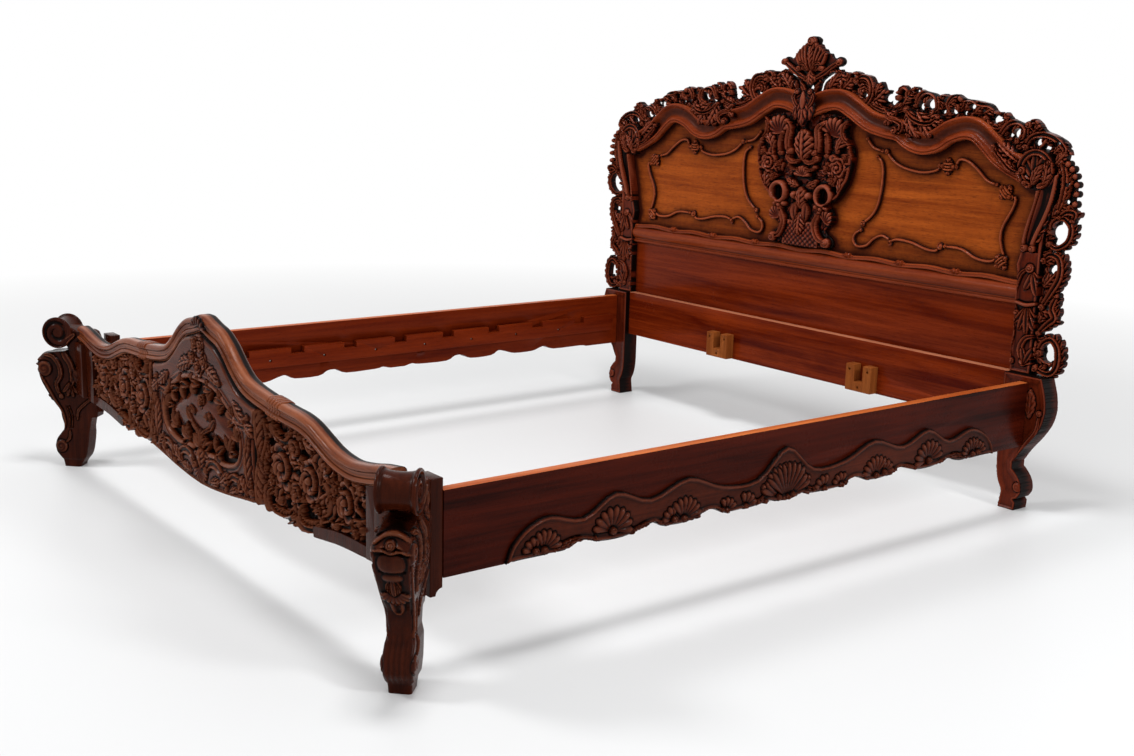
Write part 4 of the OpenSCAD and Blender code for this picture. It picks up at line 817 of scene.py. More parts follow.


# Plain woods: no painted shade or highlight from their tone, and a fainter ripple
SMOOTH = {"carving": 0.0, "ripple": 0.08}
# Each wood's glazing colour is also the painted shade of its hollows, and its worn colour also the painted
# highlight of its ridges
carved_dark = wood("carved mahogany", (44, 6, 1), (92, 28, 10), "x", shine=0.07, wear_and_highlight=(184, 98, 70))
stile_wood = wood("carved mahogany, upright grain", (62, 14, 5), (104, 38, 18), "z", wear_and_highlight=(158, 84, 58))
arch_wood = wood("arch mahogany", (84, 26, 8), (138, 58, 26), "x", fibres=0.8, glaze_and_shade=(30, 8, 3),
    wear_and_highlight=(176, 98, 62))
panel_warm = wood("warm panel mahogany", (104, 38, 6), (166, 80, 24), "x", (0.3, 0.46), 0.045, fibres=1.0,
    pores=0.8, glaze_and_shade=(46, 12, 3))
plain_deep = wood("deep red mahogany", (66, 10, 1), (120, 42, 12), "x", (0.14, 0.3), 0.045, 1.2, **SMOOTH)
rail_wood = wood("rail mahogany", (26, 3, 1), (70, 19, 7), "y", (0.2, 0.38), 0.045, 1.1, **SMOOTH)
inner_rail = wood("inner rail mahogany", (76, 16, 2), (118, 40, 10), "y", (0.25, 0.45), 0.045, **SMOOTH)
foot_wood = wood("footboard walnut brown", (42, 10, 3), (92, 37, 15), "x", shine=0.05, wear_and_highlight=(162, 100, 72))
cap_wood = wood("footboard cap", (78, 30, 13), (136, 74, 44), "x", wear_and_highlight=(190, 128, 100))
foot_upright = wood("foot leg brown, upright grain", (30, 6, 2), (68, 25, 10), "z", shine=0.05,
    wear_and_highlight=(126, 72, 48))
apron_wood = wood("apron brown", (36, 8, 3), (78, 30, 15), "y", shine=0.05, wear_and_highlight=(120, 64, 44))
bracket_wood = wood("bracket end grain", (106, 50, 16), (150, 84, 38), "z", (0.45, 0.65), 0.045, fibres=1.0,
    carving=0.0)
# The paler tops of the side rails and of the bottom rail's ledge: partly worn wood, partly painted light
# where the light falls on them
rail_top = wood("rail top edge", (146, 62, 22), (192, 104, 52), "y", (0.3, 0.5), **SMOOTH)
ledge_edge = wood("pale ledge edge", (150, 84, 56), (190, 124, 92), "x", (0.25, 0.45), **SMOOTH)
steel = metal("blued steel", (0.32, 0.31, 0.3, 1), 0.34)
# A near black for the screw slots, which are dark blocks set in the heads: painted shade for the inside of a
# cut slot
slot_painted_shade = metal("slot", (0.03, 0.028, 0.026, 1), 0.6)


# Headboard

ARCH = [[0.15, 1203], [10, 1203], [40, 1213], [100, 1230], [160, 1231], [220, 1205], [290, 1168],
    [360, 1151], [420, 1142], [470, 1115], [520, 1104], [570, 1114], [620, 1143], [680, 1160], [730, 1153],
    [780, 1118], [820, 1085], [872, 1058], [926, 1038]]
CORNER = np.array([955 * STRETCH, 1048])
CORNER_R = 62
arch_line = curve(pts(ARCH), 5)
arch_path = arch_line[np.hypot(*(arch_line - CORNER).T) > CORNER_R + 6]
STILE = np.vstack([pts([[926.2, LEDGE], [926.2, 720]]),
    curve(pts([[917, 760], [928, 800], [934, 840], [945, 890], [962, 950], [968, 1000]]), 4),
    curve(pts([[1036, 1040], [1034, 1000], [1022, 930], [1004, 860], [1000, 780]]), 4),
    pts([[1000, LEDGE]])])


def arch_band(gap):
    """The arch's outline, with a gap round it."""
    return np.vstack([beside(arch_line, ARCH_W / 2 + gap), beside(arch_line, -ARCH_W / 2 - gap)[::-1]])


def circle(p, r):
    a = np.linspace(0, 2 * math.pi, 48, endpoint=False)
    return np.stack([p[0] + r * np.cos(a), p[1] + r * np.sin(a)], 1)


ARCH_BAND = arch_band(GAP)
CORNER_RING = circle(CORNER, CORNER_R)


def spot(u, v):
    """One point of a front view drawing, fitted to the width of the bed."""
    return np.array([u * STRETCH, v])


def clear_both(relief, ring, gap=0.0):
    """Takes an outline and its mirror image out of a board."""
    relief.without(ring, gap)
    relief.without(flip(ring), gap)


def leaves(relief, rows, low, high, **put):
    """Leaves, each as its root, heading, length, width, number of lobes and its bend."""
    for p, turn, length, width, lobes, bend in rows:
        relief.leaf(spot(*p), turn, length, width, lobes, low, high, bend, **put)


def scrolls(relief, rows, low, high, fringe=0, **put):
    """Scrolls, each as its path, width, and the radius of the volute at its start and at its end. A fringe
    of leaf lobes can spring from their outer side."""
    for path, width, start, end, *way in rows:
        path = pts(path)
        if fringe:
            count = max(3, int(np.linalg.norm(np.diff(path, axis=0), axis=1).sum() / 20))
            relief.frond(path, count, width * 1.6, width * 0.85, fringe, 52, low, high - 4, (0.08, 0.92),
                **put)
        relief.scroll(path, width, low, high, start, end, *way, **put)


def fan(relief, p, turn, length, width, count, spread, low, high, bend=0.0):
    """Curled lobes that open from one root, the middle one on top."""
    middle = (count - 1) / 2
    for k in sorted(range(count), key=lambda k: -abs(k - middle)):
        t = (k - middle) / middle
        size = length * (1 - 0.2 * abs(t))
        relief.finger(p, turn + t * spread / 2, size, width, low, high, bend + 0.24 * t)


def flowers(relief, rows, low, high, **put):
    """Flowers on three leaf lobes, each as its middle, radius and number of petals."""
    for k, (u, v, size, petals) in enumerate(rows):
        for a in range(3):
            relief.finger((u, v), a * 120 + k * 47, size * 1.5, size * 0.8, low - 3, high - 7, 0.2, **put)
        relief.flower((u, v), size, petals, low, high, k * 23, **put)


def whole(path, steps=3):
    """A closed outline from its right half."""
    half = curve(pts(path), steps)
    return np.vstack([half, flip(half)[::-1]])


SIDE_SCROLLS = [
    [[[1012, 450], [1060, 440], [1086, 470], [1084, 520], [1060, 545], [1030, 530], [1022, 500]], 20, 12,
        12],
    [[[1012, 560], [1040, 590], [1062, 612], [1050, 640], [1064, 680]], 20, 9, 9],
    [[[1014, 640], [1044, 690], [1068, 740], [1060, 790], [1024, 800], [1006, 780]], 20, 11, 11],
    [[[1018, 830], [1050, 822], [1084, 846], [1090, 886], [1060, 912], [1028, 896], [1024, 866]], 18, 9, 9],
    [[[1090, 905], [1098, 927], [1070, 930], [1046, 912]], 18, 8, 8],
    [[[1040, 930], [1052, 980], [1054, 1036], [1036, 1076]], 18, 6, 6]]
SIDE_BEADS = [[1092, 955, 11], [1094, 985, 10], [1092, 1012, 10], [1084, 1036, 10], [1072, 1056, 11],
    [1056, 1070, 11]]
SIDE_LEAVES = [((1026, 470), 118, 84, 44, 4, 0.1), ((1006, 590), 60, 70, 46, 4, 0.1),
    ((1012, 700), 44, 70, 44, 4, 0.1), ((1004, 770), 25, 64, 40, 4, 0.2), ((994, 850), 62, 66, 40, 4, 0.1),
    ((1004, 1060), 40, 64, 42, 4, 0.1), ((1010, 490), -30, 66, 42, 4, 0.2),
    ((1008, 630), -14, 52, 40, 3, 0.2), ((1016, 900), 70, 60, 34, 3, 0.2),
    ((1030, 1000), 76, 60, 30, 3, 0.2), ((1010, 440), 20, 50, 30, 3, 0.2),
    ((1014, 930), 100, 60, 30, 3, 0.2)]
SIDE_GROUND = [[996, 431], [1044, 431], [1040, 500], [1022, 560], [1036, 600], [1026, 660], [1036, 720],
    [1022, 800], [1030, 830], [1050, 910], [1084, 940], [1088, 1010], [1070, 1052], [1046, 1078],
    [996, 1090]]
SIDE_HOLES = [[1052, 492, 17], [1046, 868, 22], [1034, 752, 10], [1036, 640, 8], [1028, 560, 5],
    [1036, 806, 5], [1060, 960, 6], [1060, 1010, 6]]


def side_carving():
    """Scrolls, leaves and a string of beads down the outside of an upright."""
    r = Relief((975, 425), (1142, 1115), 1.8, 9)
    r.within(pts(SIDE_GROUND))
    r.thicket(3, 30, lambda p: 78 if p[1] > 560 else 40, 5, 20, 60, 26, 0)
    leaves(r, SIDE_LEAVES, 8, 26, grow=0)
    scrolls(r, SIDE_SCROLLS, 9, 31, -1, grow=0)
    for u, v, size in SIDE_BEADS:
        r.bead(spot(u, v), size, 9, 28, grow=0)
    for u, v, size in SIDE_HOLES:
        r.hole(spot(u, v), size, 1, 0)
    r.without(STILE, GAP)
    r.without(CORNER_RING, GAP)
    r.without(ARCH_BAND)
    r.above(LEDGE + 0.5)
    r.round_edge(4, 6)
    return r


def stile():
    """A tapered hollow pilaster with bright rims over a plain block, and a leafy ring at the corner."""
    r = Relief((878, 425), (1030, 1115), 1.8, 38)
    r.within(STILE)
    depth = -r.area
    r.h = np.where(r.vv > 800, 43 - 12 * ease((depth - 6) / 18), 40 + 4 * np.exp(-(((depth - 5) / 4) ** 2)))
    rim = pts([(964, 818), (978, 856), (998, 900), (1016, 950), (1026, 1000), (1030, 1040)])
    r.frond(rim, 7, 50, 22, -1, 40, 35, 47)
    r.strand(rim, 13, 38, 52, "round", 0.8)
    r.strand(pts([(936, 818), (938, 850), (948, 900), (962, 955), (974, 1010)]), 13, 38, 51, "round", 0.8)
    r.volute(spot(938, 812), 12, 38, 53, 90, -1)
    r.volute(spot(966, 812), 11, 38, 53, 90, 1)
    fan(r, spot(976, 744), -74, 76, 22, 3, 44, 36, 49)
    r.scroll(pts([(934, 612), (924, 650), (926, 700), (940, 736), (966, 752)]), 14, 36, 49, 11, 15, (1, -1))
    fan(r, spot(968, 640), -86, 92, 20, 5, 50, 35, 49)
    r.strand(pts([(928, 646), (964, 640), (1002, 648)]), 13, 36, 50, "round", 0.8)
    r.scroll(pts([(930, 462), (922, 500), (928, 548), (924, 590)]), 13, 36, 48, 11, 9, (1, -1))
    r.scroll(pts([(1000, 548), (972, 536), (958, 500), (972, 464)]), 17, 36, 50, 0, 14)
    fan(r, spot(974, 456), 62, 64, 20, 3, 50, 35, 47)
    r.without(ARCH_BAND)
    r.within(CORNER_RING)
    d = np.hypot(r.uu - CORNER[0], r.vv - CORNER[1])
    r.h = np.where(d < CORNER_R, 34, r.h)
    for turn, size in ((30, 50), (150, 46), (60, 62), (122, 60), (90, 66)):
        r.finger(CORNER + (-4, -30), turn, size + 12, 26, 36, 49, 0.1 * (turn < 90))
    r.strand(circle(CORNER, 52)[range(-9, 34)], 20, 37, 54, "hollow", 0.8, smooth=False)
    r.leaf(CORNER + (30, -44), 66, 76, 40, 4, 38, 53, 0.3)
    r.leaf(CORNER + (-8, -46), 74, 70, 36, 4, 40, 54, -0.2)
    for u, v, size in ((908, 1044, 14), (920, 1006, 10), (1000, 1072, 9)):
        r.volute(spot(u, v), size, 38, 55, 40)
    r.round_edge(4, 4)
    return r


CREST_TOP = [[40, 1262], [52, 1296], [110, 1326], [150, 1330], [180, 1318], [204, 1326], [240, 1316],
    [266, 1312], [300, 1297], [322, 1292], [336, 1268], [358, 1266], [372, 1246], [386, 1252], [400, 1276],
    [420, 1283], [440, 1266], [462, 1280], [500, 1267], [540, 1260], [560, 1252], [584, 1260], [600, 1252],
    [632, 1260], [660, 1247], [700, 1243], [740, 1237], [764, 1230], [786, 1210], [820, 1211], [840, 1194],
    [880, 1180], [900, 1182], [922, 1194], [944, 1182], [964, 1160], [1000, 1149], [1042, 1127],
    [1058, 1090]]
CREST_BASE = [[1020, 1030], [870, 1060], [740, 1150], [520, 1104], [300, 1165], [100, 1225], [40, 1214]]
CREST_LINE = np.vstack([curve(pts(CREST_TOP), 3), pts(CREST_BASE)])
# Which way the ground's leaves lie, by the distance from the middle
CREST_FLOW = [(0, 60), (250, 20), (400, 40), (520, 30), (700, 25), (850, 10), (1060, -10)]
CREST_BEADS = [(640, 1250, 13), (822, 1210, 11), (926, 1190, 11), (388, 1262, 7), (704, 1244, 8),
    (1048, 1104, 9)]
CREST_SCROLLS = [
    # path, width, radius of the volute at the start and at the end, way each winds
    ([(216, 1206), (262, 1222), (286, 1262), (272, 1302), (238, 1312), (212, 1298)], 20, 0, 14, (1, -1)),
    ([(172, 1298), (184, 1324), (208, 1326), (216, 1308)], 16, 9, 9, (1, -1)),
    ([(284, 1222), (318, 1208), (360, 1198), (400, 1200), (436, 1212)], 14, 0, 10),
    ([(398, 1246), (396, 1268), (414, 1282), (438, 1272), (440, 1252), (472, 1250)], 16, 12, 7, (-1, 1)),
    ([(474, 1222), (490, 1258), (524, 1268), (554, 1252), (562, 1218), (542, 1202)], 19, 7, 11, (1, -1)),
    ([(560, 1262), (592, 1262), (618, 1252)], 14, 7, 0),
    ([(612, 1206), (604, 1234), (626, 1258), (654, 1250), (658, 1228), (638, 1220)], 17, 0, 13, (1, -1)),
    ([(655, 1244), (690, 1248), (722, 1236), (760, 1232), (792, 1214)], 18, 8, 13),
    ([(750, 1194), (766, 1166), (798, 1156), (828, 1176), (828, 1202)], 17, 9, 13, (-1, 1)),
    ([(806, 1140), (832, 1176), (872, 1186), (902, 1166), (896, 1134), (872, 1128)], 18, 9, 11, (1, -1)),
    ([(906, 1180), (926, 1190), (948, 1176)], 15, 13, 8),
    ([(902, 1112), (922, 1142), (962, 1152), (1004, 1142), (1040, 1112), (1030, 1092)], 19, 11, 12, (1, -1))]
CREST_LEAVES = [
    # root, heading, length, width, lobes, bend
    ((116, 1338), -66, 96, 66, 5, 0.25), ((92, 1262), 62, 78, 50, 4, -0.2),
    ((150, 1266), 34, 62, 46, 4, 0.1), ((284, 1228), 26, 100, 58, 5, 0.24),
    ((300, 1244), 78, 60, 40, 4, -0.3), ((440, 1258), 30, 52, 36, 4, 0.3),
    ((416, 1214), 62, 58, 38, 4, -0.2), ((500, 1212), 60, 60, 44, 4, -0.3),
    ((566, 1214), 70, 58, 38, 4, 0.25), ((590, 1224), 20, 52, 38, 4, 0.2),
    ((668, 1212), 60, 50, 38, 4, 0.25), ((704, 1204), 40, 58, 40, 4, 0.2), ((736, 1206), 20, 60, 40, 4, 0.1),
    ((770, 1186), -40, 52, 38, 4, 0.2), ((846, 1150), 30, 58, 40, 4, 0.25),
    ((868, 1098), 66, 74, 50, 5, 0.2), ((930, 1150), 60, 52, 38, 4, 0.2), ((940, 1098), 40, 74, 50, 5, 0.2),
    ((1000, 1098), 30, 62, 44, 4, 0.25), ((980, 1130), 50, 50, 34, 4, 0.2),
    ((330, 1212), 160, 50, 30, 3, 0.1), ((374, 1206), 20, 50, 28, 3, 0.1)]
CREST_HOLES = [(254, 1250, 9), (352, 1244, 12), (372, 1232, 10), (372, 1256, 13), (494, 1222, 11),
    (531, 1230, 14), (590, 1243, 8), (624, 1212, 10), (690, 1226, 7), (786, 1190, 12), (868, 1152, 13),
    (842, 1146, 7), (944, 1128, 11), (974, 1112, 9), (300, 1290, 5), (420, 1238, 6), (580, 1206, 6),
    (738, 1214, 5), (470, 1270, 5), (664, 1206, 6), (814, 1196, 5), (1012, 1126, 6)]


def crest():
    """Pierced scrolls, leaves and beads along the top of an arch, cut to what stands beside them."""
    r = Relief((35, 1020), (1062, 1344), 1.9, 5)
    r.within(CREST_LINE)
    outline = r.area.copy()
    r.thicket(11, 32, lambda p: np.interp(p[0], *zip(*CREST_FLOW)), 3, 19, 64, 28, 3)
    r.area = r.area + 7
    leaves(r, CREST_LEAVES, 7, 29, grow=0)
    flowers(r, ((244, 1264, 27, 6),), 9, 29, grow=0)
    scrolls(r, CREST_SCROLLS, 8, 31, 1, grow=0)
    for u, v, size in CREST_BEADS:
        r.bead((u, v), size, 9, 30, grow=0)
    r.area = np.maximum(r.area, outline - 3)
    for u, v, size in CREST_HOLES:
        r.hole(spot(u, v), size, 1.25, 30)
    r.without(ARCH_BAND)
    r.without(STILE, GAP)
    r.without(CORNER_RING, GAP)
    for path, width, *_ in SIDE_SCROLLS:
        r.area = np.maximum(r.area, width / 2 + 0.5 - path_distance(r.uu, r.vv, curve(pts(path), 4))[0])
    r.above(1075)
    r.round_edge(3.5, 6)
    return r


ARCH_LEAVES = [((410, 1200), -150, 66, 48, 4, 0.2), ((470, 1204), -100, 86, 62, 4, 0.1),
    ((524, 1190), -24, 76, 54, 4, 0.2), ((452, 1212), -72, 106, 74, 5, 0.2),
    ((490, 1204), -46, 104, 68, 5, -0.1)]
ARCH_SCROLLS = [
    ([(366, 1200), (384, 1180), (412, 1174), (436, 1160), (428, 1138), (406, 1140)], 19, 7, 15, (1, -1)),
    ([(448, 1204), (480, 1180), (520, 1168), (556, 1172), (580, 1190)], 16, 6, 9)]
CORNER_LEAVES = [((892, 1066), 150, 96, 58, 5, -0.12), ((886, 1046), 165, 66, 38, 4, -0.2)]
CORNER_SCROLLS = [([(900, 1034), (870, 1042), (840, 1066), (812, 1092), (800, 1110)], 15, 9, 9)]


def arch_acanthus():
    """Acanthus that spills from the crest over the arch, and a leaf strip where it meets the corner."""
    r = Relief((330, 1010), (905, 1225), 1.9, 30)
    leaves(r, ARCH_LEAVES, 26, 56, grow=0)
    scrolls(r, ARCH_SCROLLS, 30, 58, 0, grow=0)
    leaves(r, CORNER_LEAVES, 28, 55, grow=0)
    scrolls(r, CORNER_SCROLLS, 30, 57, 0, grow=0)
    r.round_edge(3.5, 6)
    return r


FINIAL = [[40, 1236], [38, 1262], [52, 1284], [84, 1290], [112, 1286], [130, 1300], [130, 1320], [112, 1340],
    [132, 1344], [146, 1356], [140, 1370], [122, 1376], [104, 1370], [92, 1374], [84, 1386], [68, 1388],
    [60, 1400], [46, 1404], [38, 1416], [28, 1420], [30, 1433], [16, 1443], [0, 1445]]


def finial():
    """A fluted fan that ends in a volute, on two curled scrolls with leaf drops."""
    r = Relief((-146, 1230), (146, 1446), 1.5, 12)
    r.within(whole(FINIAL, 4))
    for s in (1, -1):
        r.leaf((s * 84, 1344), 90 - s * 155, 66, 46, 4, 10, 27, s * 0.2)
        r.leaf((s * 44, 1320), 90 - s * 140, 60, 44, 4, 10, 27, -s * 0.2)
        r.scroll([(s * 18, 1300), (s * 60, 1318), (s * 96, 1340), (s * 128, 1358)], 17, 12, 31, 11, 13,
            (s, -s))
        r.scroll([(s * 20, 1244), (s * 32, 1272), (s * 62, 1292), (s * 100, 1300)], 14, 10, 28, 0, 10,
            (s, s))
        r.frond([(s * 30, 1300), (s * 80, 1312), (s * 120, 1326)], 4, 30, 16, -s, 60, 9, 24)
    for k in range(-4, 5):
        r.finger((k * 5, 1326), 90 - k * 11.5, 104 - 6 * abs(k), 25, 14, 33 + (4 - abs(k)), k * 0.05)
    for s in (1, -1):
        r.scroll([(s * 8, 1330), (s * 24, 1350), (s * 44, 1352), (s * 52, 1336)], 11, 16, 36, 0, 10, (1, -s))
    r.leaf((0, 1336), 90, 84, 30, 5, 18, 36)
    r.volute((0, 1428), 17, 16, 38, 0, 1, 1.9)
    r.leaf((0, 1330), -90, 54, 40, 4, 14, 33)
    r.without(pts([[-22, 1254], [22, 1254], [0, 1286]]))
    clear_both(r, ARCH_BAND)
    clear_both(r, CREST_LINE, GAP)
    r.round_edge(4, 6)
    return r


def keystone():
    """A leaf clasp with a bud, over the meeting of the two arches."""
    r = Relief((-75, 1140), (75, 1280), 1.4, 2)
    for s in (1, -1):
        r.leaf((s * 10, 1250), -90 + s * 30, 92, 50, 4, 1, 12, -s * 0.25, grow=0)
        r.scroll([(s * 14, 1196), (s * 34, 1214), (s * 46, 1238), (s * 30, 1256)], 14, 2, 15, 9, 12, (s, -s),
            grow=0)
    r.leaf((0, 1262), -90, 122, 56, 4, 3, 16, grow=0)
    r.finger((0, 1258), -90, 62, 30, 6, 18, section="round", grow=0)
    r.round_edge(3, 3)
    return r


CARTOUCHE = [[60, 716], [140, 720], [150, 750], [112, 780], [150, 812], [146, 850], [118, 870], [160, 892],
    [205, 950], [222, 1010], [224, 1060], [206, 1092], [188, 1130], [196, 1170], [150, 1180], [90, 1184],
    [40, 1176]]
CARTOUCHE_HOLES = [[108, 900, 20], [50, 962, 11], [112, 966, 10], [38, 1124, 12], [84, 1046, 9],
    [44, 880, 8], [176, 1062, 8], [60, 1150, 7], [150, 930, 7], [16, 938, 6]]
CARTOUCHE_SCROLLS = [
    # path, width, height of its foot and its top, radius of the volute at the start and at the end
    ([(66, 1030), (72, 1084), (66, 1130), (88, 1150)], 22, 20, 43, 12, 9),
    ([(110, 1040), (112, 1080), (104, 1112)], 16, 18, 38, 9, 7),
    ([(206, 1086), (180, 1112), (180, 1146), (204, 1166)], 14, 18, 38, 8, 7)]
CARTOUCHE_FLOWERS = [(164, 1004, 36, 6), (140, 958, 15, 5), (118, 1000, 14, 5), (196, 1040, 13, 5)]


def cartouche():
    """A pierced heart of shells, flowers, leaves and rings on a scaled foot."""
    r = Relief((-228, 712), (228, 1200), 1.8, 14)
    r.within(whole(CARTOUCHE))
    edge = -r.area
    r.thicket(7, 30, lambda p: math.degrees(math.atan2(p[1] - 960, p[0])), 9, 18, 56, 24, 3, 60)
    r.h += 12 * np.exp(-(((edge - 6) / 4) ** 2)) * (r.vv > 870) * (r.vv < 1110)
    across, up = math.pi * r.uu / 22, math.pi * (r.vv - 716) / 20
    scales = np.abs(np.cos(across)) * np.abs(np.sin(up))
    shifted = np.abs(np.sin(across)) * np.abs(np.cos(up))
    foot = (np.abs(r.uu) < 84) & (r.vv < 806)
    r.h = np.where(foot, 26 + 6 * np.maximum(scales, shifted) - (r.uu / 84) ** 2 * 8, r.h)
    for s in (1, -1):
        r.shell((s * 128, 1106), 90 - s * 16, 68, 8, 165, 16, 38)
        r.shell((s * 112, 806), 90 - s * 34, 50, 7, 140, 18, 38)
        r.scroll([(s * 96, 846), (s * 74, 800), (s * 92, 756), (s * 128, 740)], 19, 20, 42, 9, 17, (s, -s))
        r.leaf((s * 176, 900), 90 - s * 8, 76, 46, 4, 16, 34, s * 0.1)
        r.leaf((s * 150, 1050), 90 - s * 20, 80, 44, 4, 16, 36, -s * 0.2)
        r.leaf((s * 96, 1004), 90 - s * 130, 70, 42, 4, 16, 34, s * 0.2)
        for path, width, low, high, start, end in CARTOUCHE_SCROLLS:
            r.scroll([(s * u, v) for u, v in path], width, low, high, start, end, (s, -s))
        rim = [(s * 128, 872), (s * 178, 914), (s * 210, 970), (s * 219, 1030), (s * 208, 1074)]
        r.scroll(rim, 12, 18, 38, 6, 6)
        r.strand(circle((s * 108, 902), 34)[range(-2, 46)], 17, 20, 44, "round", 0.9, smooth=False)
        for k in range(3):
            r.bead((s * (78 + 22 * k), 862 - 6 * (k == 1)), 9, 24, 44)
        r.finger((s * 22, 800), 90 - s * 14, 70, 28, 18, 38, s * 0.2)
        r.bead((s * 34, 896), 14, 22, 43)
        r.leaf((s * 20, 930), 90 - s * 80, 56, 34, 4, 16, 36, s * 0.2)
    flowers(r, [(s * u, *rest) for s in (1, -1) for u, *rest in CARTOUCHE_FLOWERS], 20, 44)
    r.leaf((0, 838), -90, 84, 60, 5, 18, 40)
    r.leaf((0, 850), 90, 78, 50, 4, 20, 42)
    r.shell((0, 962), 90, 40, 7, 170, 20, 42)
    r.leaf((0, 1018), 90, 112, 92, 5, 22, 46)
    for s in (1, -1):
        r.scroll([(s * 12, 1020), (s * 40, 1012), (s * 64, 1026), (s * 60, 1048)], 14, 22, 46, 0, 12,
            (1, -s))
        r.scroll([(s * 14, 990), (s * 42, 988), (s * 62, 1000)], 10, 20, 40, 0, 7, (1, s))
    for u, v, size in CARTOUCHE_HOLES:
        for s in (1, -1):
            r.hole(spot(s * u, v), size, 1.2, 90 - s * 20)
    r.hole((4, 1142), 13, 1.2, 80)
    clear_both(r, ARCH_BAND)
    r.above(717)
    r.round_edge(4, 8)
    return r


PANEL_LINES = [
    [[[330, 1050], [352, 1032], [360, 985], [352, 910], [330, 860], [285, 822]], 6, 10, (-1, 1)],
    [[[280, 800], [256, 785], [250, 762], [268, 744], [308, 750], [340, 776], [372, 790], [400, 782],
        [410, 770]], 7, 9, (1, -1)],
    [[[410, 774], [440, 784], [500, 780], [556, 766], [598, 764], [616, 780]], 6, 12, (1, 1)],
    [[[634, 782], [700, 780], [756, 758], [810, 754], [842, 770]], 6, 8, (-1, 1)],
    [[[862, 772], [850, 800], [842, 835], [850, 872], [878, 925], [884, 955], [868, 958]], 6, 8, (1, 1)],
    [[[812, 992], [776, 1002], [738, 1032], [700, 1056], [666, 1060], [652, 1036]], 6, 8, (1, 1)],
    [[[592, 1036], [576, 1020], [520, 1011], [450, 1020], [402, 1040], [368, 1070]], 9, 9, (-1, 1)],
    [[[352, 1070], [312, 1080], [282, 1108]], 6, 6, (1, -1)]]
PANEL_CLASPS = [[846, 972, 45], [622, 1036, 90], [852, 756, -50]]
# How much nearer the middle the applied lines lie on each side than they are drawn
SCROLL_SHIFTS = {1: 8, -1: 44}


def moved(path, shift):
    """A path of the applied lines, drawn towards the middle the more the nearer it lies to it."""
    return [(u - shift * (0.5 + 0.5 * (880 - u) / 530), v) for u, v in path]


def panel_scrolls(shift):
    """Applied lines with curled ends on the panel, held by ribbed leaf clasps."""
    r = Relief((190, 730), (900, 1125), 1.8, 2)
    for path, start, end, ways in PANEL_LINES:
        path = pts(moved(path, shift))
        r.strand(path, 12.5, 1, 14, "round", 0.66, grow=0)
        for p, q, size, way in ((path[0], path[1], start, ways[0]), (path[-1], path[-2], end, ways[1])):
            r.volute(p, size * 1.15, 2, 15, math.degrees(math.atan2(*(q - p)[::-1])), way, 1.4, grow=0)
    for u, v, turn in PANEL_CLASPS:
        p = pts(moved([(u, v)], shift))[0]
        c = np.array([math.cos(math.radians(turn)), math.sin(math.radians(turn))])
        n = np.array([-c[1], c[0]])
        r.leaf(p - 6 * c, turn, 36, 34, 3, 2, 14, grow=0)
        r.leaf(p + 6 * c, turn + 180, 36, 34, 3, 2, 14, grow=0)
        for k in (-1, 0, 1):
            middle = p + c * k * 9
            r.strand([middle - n * 17, middle - c * 1.5, middle + n * 17], 9, 3, 17, "round", 0.8, grow=0)
        for s in (1, -1):
            r.volute(p + n * s * 20, 8.5, 3, 17, turn, s, grow=0)
    r.round_edge(2.5, 2)
    return r


def upper_panel():
    """The flat panel, whose tone darkens towards the mouldings, the cartouche and the applied lines:
        partly old polish left along them, and partly painted shade beside these raised parts."""
    r = Relief((-970, 696), (970, 1235), 4.0, 14)
    line = beside(arch_line, -28.4)
    line = line[(line[:, 0] < 925) & (line[:, 0] > 0)]
    half = np.vstack([[(0.1, line[0][1])], line, [(965, line[-1][1] - 20), (965, 700.5), (0.1, 700.5)]])
    r.within(half)
    r.within(flip(half))
    clear_both(r, STILE, GAP)
    clear_both(r, CORNER_RING, GAP)
    r.within([(-40, 1150), (-40, 700.5), (40, 700.5), (40, 1150)])
    near = np.clip(outline_distance(r.uu, r.vv, whole(CARTOUCHE)), 0, None)
    # Darker near the panel's edges, the cartouche and the applied lines: partly old polish left along them,
    # partly painted shade beside these raised parts
    shade = 0.26 * np.exp(r.area / 13) + 0.24 * np.exp(r.area / 42) + 0.3 * np.exp(-near / 15)
    lines = np.full(r.uu.shape, 1e3)
    for side, _ in SIDES:
        for path, *_ in PANEL_LINES:
            path = pts(moved(path, SCROLL_SHIFTS[side])) * (side, 1)
            lines = np.minimum(lines, path_distance(r.uu, r.vv, curve(path, 4))[0])
    shade += 0.2 * np.exp(-np.clip(lines - 5, 0, None) / 9)
    r.tone = lambda: np.clip(0.5 + shade, 0, 0.92)
    return r


# Footboard

CAP = [[0.15, 627], [14, 627], [60, 614], [105, 603], [150, 578], [195, 543], [245, 513], [300, 498],
    [360, 490], [430, 483], [500, 479], [560, 476], [610, 467], [660, 450], [710, 433], [760, 423],
    [815, 420], [880, 428], [939.4, 440], [992, 447]]
cap_path = curve(pts(CAP), 5)
FOOT_IN = 880 * STRETCH


def cap_band(gap):
    """The cap's outline, with a gap round it."""
    return np.vstack([beside(cap_path, 23 + gap), beside(cap_path, -23 - gap)[::-1]])


CAP_BAND = cap_band(GAP)


